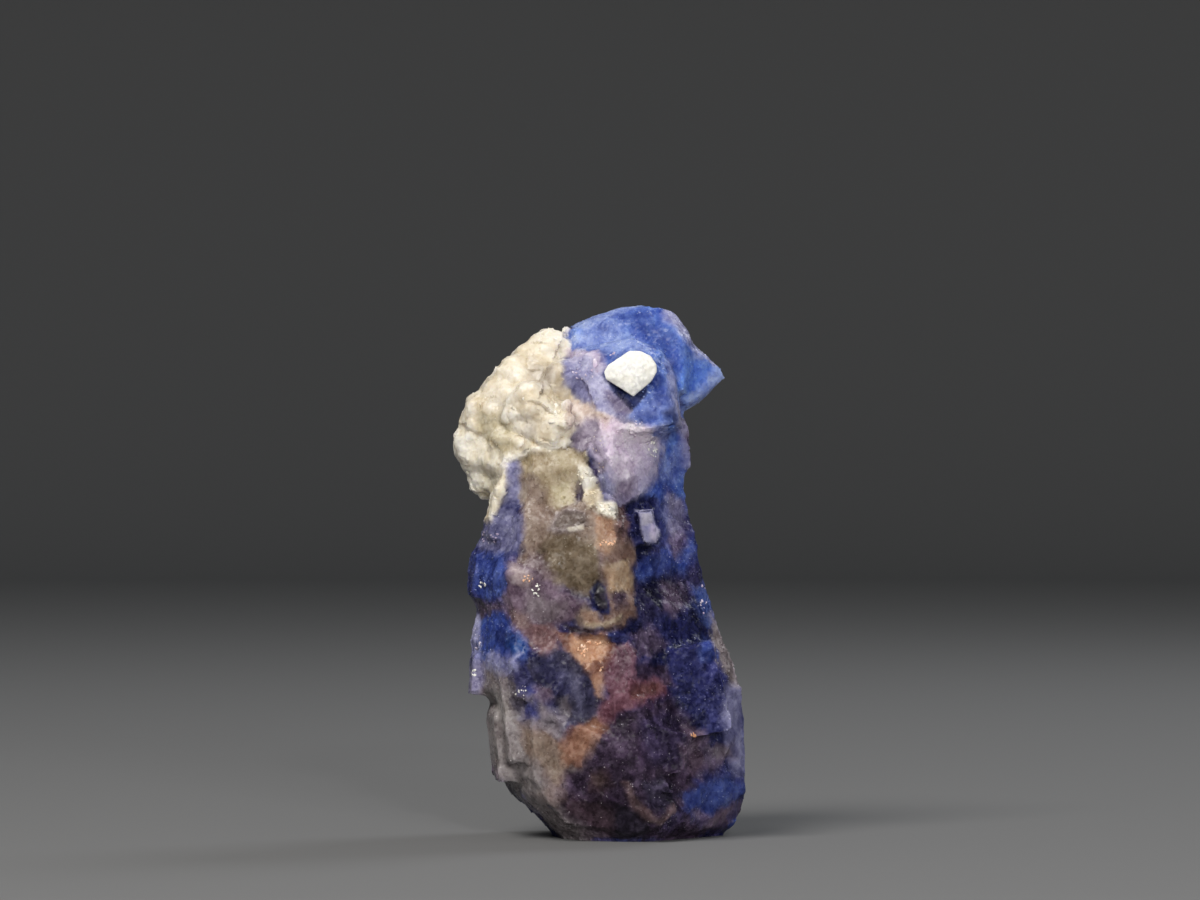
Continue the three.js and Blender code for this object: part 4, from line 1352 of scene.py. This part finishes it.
CLUSTERS = (
    Cluster(Tone.IVORY, 556, 416, (4, 13), 6, (0.22, 0.4)),
    Cluster(Tone.CREAM, 508, 404, (20, 10), 8, (0.14, 0.3)),
    Cluster(Tone.IVORY, 584, 476, (8, 8), 10, (0.12, 0.3)),
    Cluster(Tone.CREAM, 592, 494, (7, 7), 8, (0.14, 0.3)),
    Cluster(Tone.IVORY, 606, 509, (6, 8), 6, (0.24, 0.4)),
    # Painted glint: orange grains that stand for a glint inside the crystal.
    Cluster(Tone.EMBER, 606, 541, (9, 3), 12, (0.11, 0.26)),
    Cluster(Tone.STRAW, 563, 496, (7, 5), 4, (0.2, 0.34)),
    Cluster(Tone.PETAL, 632, 432, (16, 4), 10, (0.12, 0.3)),
    # Painted sparkle: small white grains that stand for glints.
    Cluster(Tone.MILK, 652, 449, (7, 9), 16, (0.08, 0.21)),
    Cluster(Tone.LILAC, 595, 364, (2, 2), 1, (0.42, 0.44)),
    # Painted sparkle: a few pale grains that stand for a white glint.
    Cluster(Tone.LILAC, 612, 355, (3, 2), 3, (0.13, 0.19)),
    Cluster(Tone.LILAC, 637, 423, (4, 3), 4, (0.11, 0.19)),
    # Painted sparkles and glints: this row and the eight below it stand for white and orange glints.
    Cluster(Tone.MILK, 538, 588, (5, 7), 12, (0.08, 0.19)),
    Cluster(Tone.EMBER, 527, 576, (7, 4), 7, (0.11, 0.24)),
    Cluster(Tone.MILK, 483, 584, (4, 4), 8, (0.08, 0.16)),
    Cluster(Tone.MILK, 474, 672, (3, 4), 5, (0.10, 0.19)),
    Cluster(Tone.MILK, 521, 687, (8, 7), 11, (0.06, 0.14)),
    Cluster(Tone.EMBER, 583, 646, (5, 6), 16, (0.08, 0.22)),
    Cluster(Tone.EMBER, 593, 640, (7, 2), 9, (0.08, 0.18)),
    Cluster(Tone.EMBER, 601, 662, (2, 6), 5, (0.06, 0.13)),
    Cluster(Tone.EMBER, 693, 733, (4, 3), 4, (0.10, 0.18)),
    Cluster(Tone.LILAC, 478, 636, (4, 13), 12, (0.08, 0.19)),
    Cluster(Tone.LILAC, 490, 536, (10, 7), 14, (0.08, 0.18)),
    Cluster(Tone.LILAC, 703, 600, (5, 14), 9, (0.08, 0.19)),
    Cluster(Tone.LILAC, 585, 372, (14, 12), 20, (0.06, 0.16)),
    # Painted sparkle: pale blue grains that stand for white glints beside the big grain.
    Cluster(Tone.SKY, 648, 392, (7, 8), 14, (0.05, 0.12)),
    Cluster(Tone.SKY, 600, 340, (26, 6), 18, (0.05, 0.12)),
    Cluster(Tone.BLUSH, 600, 450, (8, 26), 14, (0.06, 0.16)),
    Cluster(Tone.SMOKE, 728, 655, (7, 22), 10, (0.13, 0.26)),
)


def grow_hull(grown: bmesh.types.BMesh, spots: Sequence[Vector], tone: Tone) -> None:
    """Adds one angular grain to a mesh.

    Args:
        grown: The mesh it joins, with a "tint" layer.
        spots: Places that its corners are taken from, in mm.
        tone: Its colour.
    """
    layer = grown.verts.layers.float_color["tint"]
    verts = [grown.verts.new(spot) for spot in spots]
    hull = bmesh.ops.convex_hull(grown, input=verts, use_existing_faces=False)
    spare = hull["geom_interior"] + hull["geom_unused"]
    loose = {item for item in spare if isinstance(item, bmesh.types.BMVert)}
    bmesh.ops.delete(grown, geom=list(loose), context="VERTS")
    for vert in verts:
        if vert.is_valid:
            vert[layer] = (*tone.value, 1.0)


@dataclass
class GrownGrains:
    """The angular grains that stand out of the skin: one big pale one, and clusters of small ones, some of
    them painted glints.

    Attributes:
        probe: Finds the skin that they sit in.
        clusters: The clusters of small grains.
        big_outline: The big grain's outline, in the photograph's pixels.
        big_rise: How far the big grain stands proud, in mm.
        sunk: How much of a small grain's size is under the skin.
    """

    probe: FrontProbe
    clusters: tuple[Cluster, ...] = CLUSTERS
    big_outline: tuple[tuple[float, float], ...] = (
        (604, 373),
        (608, 366),
        (629, 352),
        (640, 352),
        (650, 357),
        (656, 366),
        (656, 373),
        (651, 382),
        (640, 390),
        (633, 397),
        (628, 393),
        (620, 386),
        (606, 380),
    )
    big_rise: float = 0.14
    sunk: float = 0.2

    def build(self) -> None:
        """Builds the big grain and the clusters as two pieces."""
        self.build_big()
        self.build_clusters()

    def build_big(self) -> None:
        """Builds the pale grain that is set in the crystal's forehead."""
        random = np.random.default_rng(SEED)
        middle_column = sum(column for column, _ in self.big_outline) / len(self.big_outline)
        middle_row = sum(row for _, row in self.big_outline) / len(self.big_outline)
        middle, _ = self.probe.at(middle_column, middle_row)
        rim = [self.probe.at(column, row)[0] for column, row in self.big_outline]
        inner = [place.lerp(middle, share) for place in rim for share in (0.3, 0.65)]
        skin = [self.probe.at(PHOTO.column(place.x), PHOTO.row(place.z))[0] for place in inner]
        front = min(place.y for place in rim + skin + [middle])
        spots = []
        for place in rim:
            spots.append(Vector((place.x, place.y + 0.4, place.z)))
            spots.append(Vector((place.x, front - 0.1 * self.big_rise, place.z)))
            for share in (0.85, 0.55, 0.25):
                spot = place.lerp(middle, 1 - share)
                lift = self.big_rise * (1 - 0.8 * share * share) + random.uniform(-0.035, 0.035)
                spots.append(Vector((spot.x, front - lift, spot.z)))
        grown = bmesh.new()
        grown.verts.layers.float_color.new("tint")
        grow_hull(grown, spots, Tone.MILK)
        bmesh.ops.bevel(
            grown,
            geom=list(grown.edges),
            offset=0.025,
            segments=1,
            profile=0.5,
            affect="EDGES",
            material=-1,
        )
        self.finish(grown, "forehead_grain", 0.05, 0.008)

    def build_clusters(self) -> None:
        """Builds every small grain of the clusters as one piece."""
        random = np.random.default_rng(SEED + 1)
        grown = bmesh.new()
        grown.verts.layers.float_color.new("tint")
        for cluster in self.clusters:
            for _ in range(cluster.count):
                angle, reach = random.uniform(0, 2 * math.pi), math.sqrt(random.uniform())
                column = cluster.column + cluster.spread[0] * reach * math.cos(angle)
                row = cluster.row + cluster.spread[1] * reach * math.sin(angle)
                place, way = self.probe.at(column, row)
                size = random.uniform(*cluster.size)
                self.grow_grain(grown, place - way * size * self.sunk, size, cluster.tone, random)
        self.finish(grown, "small_grains", 0.12, 0.012)

    def grow_grain(
        self, grown: bmesh.types.BMesh, middle: Vector, size: float, tone: Tone, random: np.random.Generator
    ) -> None:
        """Adds one small grain: a chipped block, turned its own way.

        Args:
            grown: The mesh it joins.
            middle: Its middle, in mm.
            size: Its width, in mm.
            tone: Its colour.
            random: Where the chips and the turn come from.
        """
        turn = Euler(random.uniform(0, 2 * math.pi, 3)).to_matrix()
        sides = Vector(random.uniform(0.5, 1.0, 3)) * size
        spots = []
        for spot in random.uniform(-1, 1, (16, 3)):
            blunt = spot / max(np.max(np.abs(spot)), 0.5 * np.sum(np.abs(spot)))
            spots.append(middle + turn @ Vector(blunt * np.array(sides) / 2))
        grow_hull(grown, spots, tone)

    def finish(self, grown: bmesh.types.BMesh, name: str, finest: float, relief: float) -> None:
        """Roughens a mesh of grains a little and makes it a piece.

        Args:
            grown: The grains, in mm. It is freed.
            name: The piece's name.
            finest: The longest edge that stays whole, in mm.
            relief: How far the roughness goes, in mm.
        """
        bmesh.ops.triangulate(grown, faces=grown.faces)
        for _ in range(5):
            long = [edge for edge in grown.edges if edge.calc_length() > finest]
            if not long:
                break
            bmesh.ops.subdivide_edges(grown, edges=long, cuts=1)
            bmesh.ops.triangulate(grown, faces=grown.faces)
        bmesh.ops.recalc_face_normals(grown, faces=grown.faces)
        mesh = bpy.data.meshes.new(name)
        grown.to_mesh(mesh)
        grown.free()
        points, ways = places(mesh), normals(mesh)
        height = relief * drift(points, 0.12, 200) + relief * drift(points, 0.3, 210)
        depth = 1 + 0.5 * drift(points, 0.35, 220) + 0.3 * drift(points, 0.12, 230)
        values = np.empty(len(points) * 4, np.float32)
        mesh.attributes["tint"].data.foreach_get("color", values)
        tint = values.reshape(-1, 4)
        tint[:, :3] = tint[:, :3] ** depth[:, None]
        mesh.attributes["tint"].data.foreach_set("color", tint.ravel())
        sugar = np.full(len(points), 0.45, np.float32)
        mesh.attributes.new("sugar", "FLOAT", "POINT").data.foreach_set("value", sugar)
        mesh.vertices.foreach_set("co", ((points + ways * height[:, None]) * MM).astype(np.float32).ravel())
        mesh.update()
        mesh.set_sharp_from_angle(angle=math.radians(24))
        finish = CrystalFinish(name, cloud=0.2, cloud_depth=0.15, gloss=(0.06, 0.35), mottle=0.08)
        mesh.materials.append(finish.material())
        piece = bpy.data.objects.new(name, mesh)
        bpy.context.scene.collection.objects.link(piece)
        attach(piece, BODY)


@dataclass
class SugarCoat:
    """The finest crystals, strewn over the sugary parts of the skin as one piece; the small, nearly white
    ones are painted glints.

    Attributes:
        skin: The finished skin that they grow on.
        count: How many there are.
        size: The smallest and the largest, in mm.
        kinds: How many different crystals are grown.
        pale: The power that pales them from the skin's tint.
        glint_pale: The same for the small pale ones, which are painted glints.
        glint_one: One in how many is small and pale, as a painted glint.
    """

    skin: bpy.types.Object
    count: int = 5200
    size: tuple[float, float] = (0.04, 0.1)
    kinds: int = 8
    pale: float = 0.85
    glint_pale: float = 0.27
    glint_one: int = 5

    def build(self) -> None:
        """Builds the coat and makes it a piece."""
        random = np.random.default_rng(SEED + 2)
        mesh = self.skin.data
        points, ways = places(mesh) / MM, normals(mesh)
        tints = np.empty(len(points) * 4, np.float32)
        mesh.attributes["tint"].data.foreach_get("color", tints)
        sugar = np.empty(len(points), np.float32)
        mesh.attributes["sugar"].data.foreach_get("value", sugar)
        patchy = np.clip(0.5 + drift(points, 0.8, 300), 0, 1)
        chance = patchy * eased(sugar, 0.15, 0.95) * (points[:, 2] > 0.4)
        chosen = random.choice(len(points), self.count, replace=False, p=chance / chance.sum())
        crystals = [self.crystal(random) for _ in range(self.kinds)]
        corners, faces, colours = [], [], []
        total = 0
        for number, spot in enumerate(chosen):
            shape, sides = crystals[number % self.kinds]
            size, pale = random.uniform(*self.size), self.pale
            # Painted glint: every so often a small crystal, paled almost to white.
            if number % self.glint_one == 0:
                size, pale = 0.6 * size, self.glint_pale
            turn = np.array(Euler(random.uniform(0, 2 * math.pi, 3)).to_matrix())
            corners.append(points[spot] - 0.15 * size * ways[spot] + size * shape @ turn)
            faces.extend([tuple(total + corner for corner in side) for side in sides])
            colours.append(np.tile([*tints.reshape(-1, 4)[spot, :3] ** pale, 1.0], (len(shape), 1)))
            total += len(shape)
        coat = bpy.data.meshes.new("sugar_coat")
        coat.from_pydata((np.concatenate(corners) * MM).tolist(), [], faces)
        tint = coat.attributes.new("tint", "FLOAT_COLOR", "POINT")
        tint.data.foreach_set("color", np.concatenate(colours).astype(np.float32).ravel())
        little = np.full(total, 0.1, np.float32)
        coat.attributes.new("sugar", "FLOAT", "POINT").data.foreach_set("value", little)
        coat.update()
        finish = CrystalFinish("sugar_coat", cloud=0.2, cloud_depth=0.2, gloss=(0.04, 0.2))
        coat.materials.append(finish.material())
        piece = bpy.data.objects.new("sugar_coat", coat)
        bpy.context.scene.collection.objects.link(piece)
        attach(piece, BODY)

    def crystal(self, random: np.random.Generator) -> tuple[np.ndarray, list[tuple[int, ...]]]:
        """Grows one chipped crystal of size one.

        Args:
            random: Where its chips come from.

        Returns:
            Its corners and its faces.
        """
        grown = bmesh.new()
        spots = random.uniform(-1, 1, (12, 3))
        spans = np.abs(spots)
        blunt = spots / np.maximum(np.max(spans, axis=1), 0.55 * np.sum(spans, axis=1))[:, None]
        verts = [grown.verts.new(spot) for spot in blunt * [0.5, 0.42, 0.34]]
        bmesh.ops.convex_hull(grown, input=verts)
        bmesh.ops.delete(grown, geom=[vert for vert in grown.verts if not vert.link_faces], context="VERTS")
        bmesh.ops.recalc_face_normals(grown, faces=grown.faces)
        grown.verts.index_update()
        shape = np.array([vert.co for vert in grown.verts])
        sides = [tuple(vert.index for vert in face.verts) for face in grown.faces]
        grown.free()
        return shape, sides


@dataclass(frozen=True)
class StudioLight:
    """One soft lamp: where it stands, what it gives, and whether facets mirror it."""

    name: str
    place: tuple[float, float, float]
    size: float
    power: float
    colour: tuple[float, float, float] = (1.0, 1.0, 1.0)
    mirrored: bool = True


@dataclass
class Studio:
    """The grey floor with its raised back, the lamps and the camera.

    Attributes:
        camera_away: How far the camera stands from the crystal's middle, in mm.
        sensor: The camera's sensor width, in mm.
        floor_radius: The flat floor's radius, in mm.
        rim_radius: The radius of the curve between the floor and the wall, in mm.
        wall_height: How high the floor's rim rises all round, in mm.
        paper: How light the floor's grey is.
        room_colour: The colour of the surroundings' light.
        room_light: How strong the surroundings' light is.
        lamps: The lamps.
    """

    camera_away: float = 200.0
    sensor: float = 36.0
    floor_radius: float = 520.0
    rim_radius: float = 120.0
    wall_height: float = 420.0
    paper: float = 0.17
    room_colour: tuple[float, float, float] = (0.8, 0.85, 0.9)
    room_light: float = 0.26
    lamps: tuple[StudioLight, ...] = (
        StudioLight("key", (-110.0, -150.0, 230.0), 120.0, 0.63, (1.0, 0.97, 0.93)),
        StudioLight("fill", (60.0, -210.0, 50.0), 60.0, 0.21, mirrored=False),
        StudioLight("spark", (30.0, -175.0, 75.0), 9.0, 0.05),
        StudioLight("rim", (120.0, 110.0, 160.0), 70.0, 0.12, (0.92, 0.95, 1.0)),
    )

    def build(self) -> None:
        """Builds the floor, the lamps, the surroundings' light and the camera."""
        self.build_floor()
        for lamp in self.lamps:
            self.build_lamp(lamp)
        world = bpy.data.worlds.new("room")
        world.use_nodes = True
        background = world.node_tree.nodes["Background"]
        background.inputs["Color"].default_value = (*self.room_colour, 1)
        background.inputs["Strength"].default_value = self.room_light
        bpy.context.scene.world = world
        bpy.context.scene.view_settings.view_transform = "Standard"
        self.build_camera()

    def build_floor(self) -> None:
        """Builds a floor whose rim sweeps up into a wall all round."""
        profile = bmesh.new()
        flat = self.floor_radius - self.rim_radius
        points = [(0.0, 0.0), (flat, 0.0)]
        for step in range(1, 13):
            angle = math.radians(90 * step / 12)
            along = flat + self.rim_radius * math.sin(angle)
            points.append((along, self.rim_radius * (1 - math.cos(angle))))
        points.append((self.floor_radius, self.wall_height))
        verts = [profile.verts.new((x * MM, 0, z * MM)) for x, z in points]
        lines = [profile.edges.new(pair) for pair in zip(verts, verts[1:])]
        bmesh.ops.spin(
            profile,
            geom=verts + lines,
            axis=(0, 0, 1),
            cent=(0, 0, 0),
            steps=96,
            angle=2 * math.pi,
            use_merge=True,
        )
        bmesh.ops.remove_doubles(profile, verts=profile.verts, dist=1e-6)
        for face in profile.faces:
            face.smooth = True
            middle = face.calc_center_median()
            if face.normal.dot(Vector((0, 0, 0.1)) - middle) < 0:
                face.normal_flip()
        mesh = bpy.data.meshes.new("studio_floor")
        profile.to_mesh(mesh)
        profile.free()
        floor = bpy.data.objects.new("studio_floor", mesh)
        bpy.context.scene.collection.objects.link(floor)
        paper = bpy.data.materials.new("studio_paper")
        paper.use_nodes = True
        shader = paper.node_tree.nodes["Principled BSDF"]
        shader.inputs["Base Color"].default_value = (self.paper, self.paper, self.paper, 1)
        shader.inputs["Roughness"].default_value = 0.9
        mesh.materials.append(paper)

    def build_lamp(self, lamp: StudioLight) -> None:
        """Builds one lamp, aimed at the crystal's middle."""
        data = bpy.data.lights.new(lamp.name, "AREA")
        data.size = lamp.size * MM
        data.energy = lamp.power
        data.color = lamp.colour
        made = bpy.data.objects.new(lamp.name, data)
        made.location = Vector(lamp.place) * MM
        aim = Vector((0, 0, 10 * MM)) - made.location
        made.rotation_euler = aim.to_track_quat("-Z", "Y").to_euler()
        made.visible_glossy = lamp.mirrored
        bpy.context.scene.collection.objects.link(made)

    def build_camera(self) -> None:
        """Builds the level camera that frames the crystal as the photograph does."""
        data = bpy.data.cameras.new("camera")
        data.sensor_width = self.sensor
        data.lens = self.sensor * self.camera_away / (PHOTO.columns * PHOTO.mm_per_pixel)
        data.clip_start = 0.01
        data.clip_end = 10
        camera = bpy.data.objects.new("camera", data)
        across = PHOTO.across(PHOTO.columns / 2)
        camera.location = Vector((across, -self.camera_away, PHOTO.up(PHOTO.rows / 2))) * MM
        camera.rotation_euler = (math.radians(90), 0, 0)
        bpy.context.scene.collection.objects.link(camera)
        bpy.context.scene.camera = camera


def corners(box: Sequence[Vector]) -> list[list[float]]:
    """Returns a box's two corners as plain lists."""
    return [list(corner) for corner in box]


def main() -> None:
    """Builds the crystal and its studio."""
    logging.basicConfig(level=logging.INFO, format="%(message)s")
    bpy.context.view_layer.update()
    skin = CrystalSkin().build()
    log.info("%s: %d faces", skin.name, len(skin.data.polygons))
    GrownGrains(FrontProbe(tree_of(skin.data))).build()
    SugarCoat(skin).build()
    Studio().build()


if __name__ == "__main__":
    main()
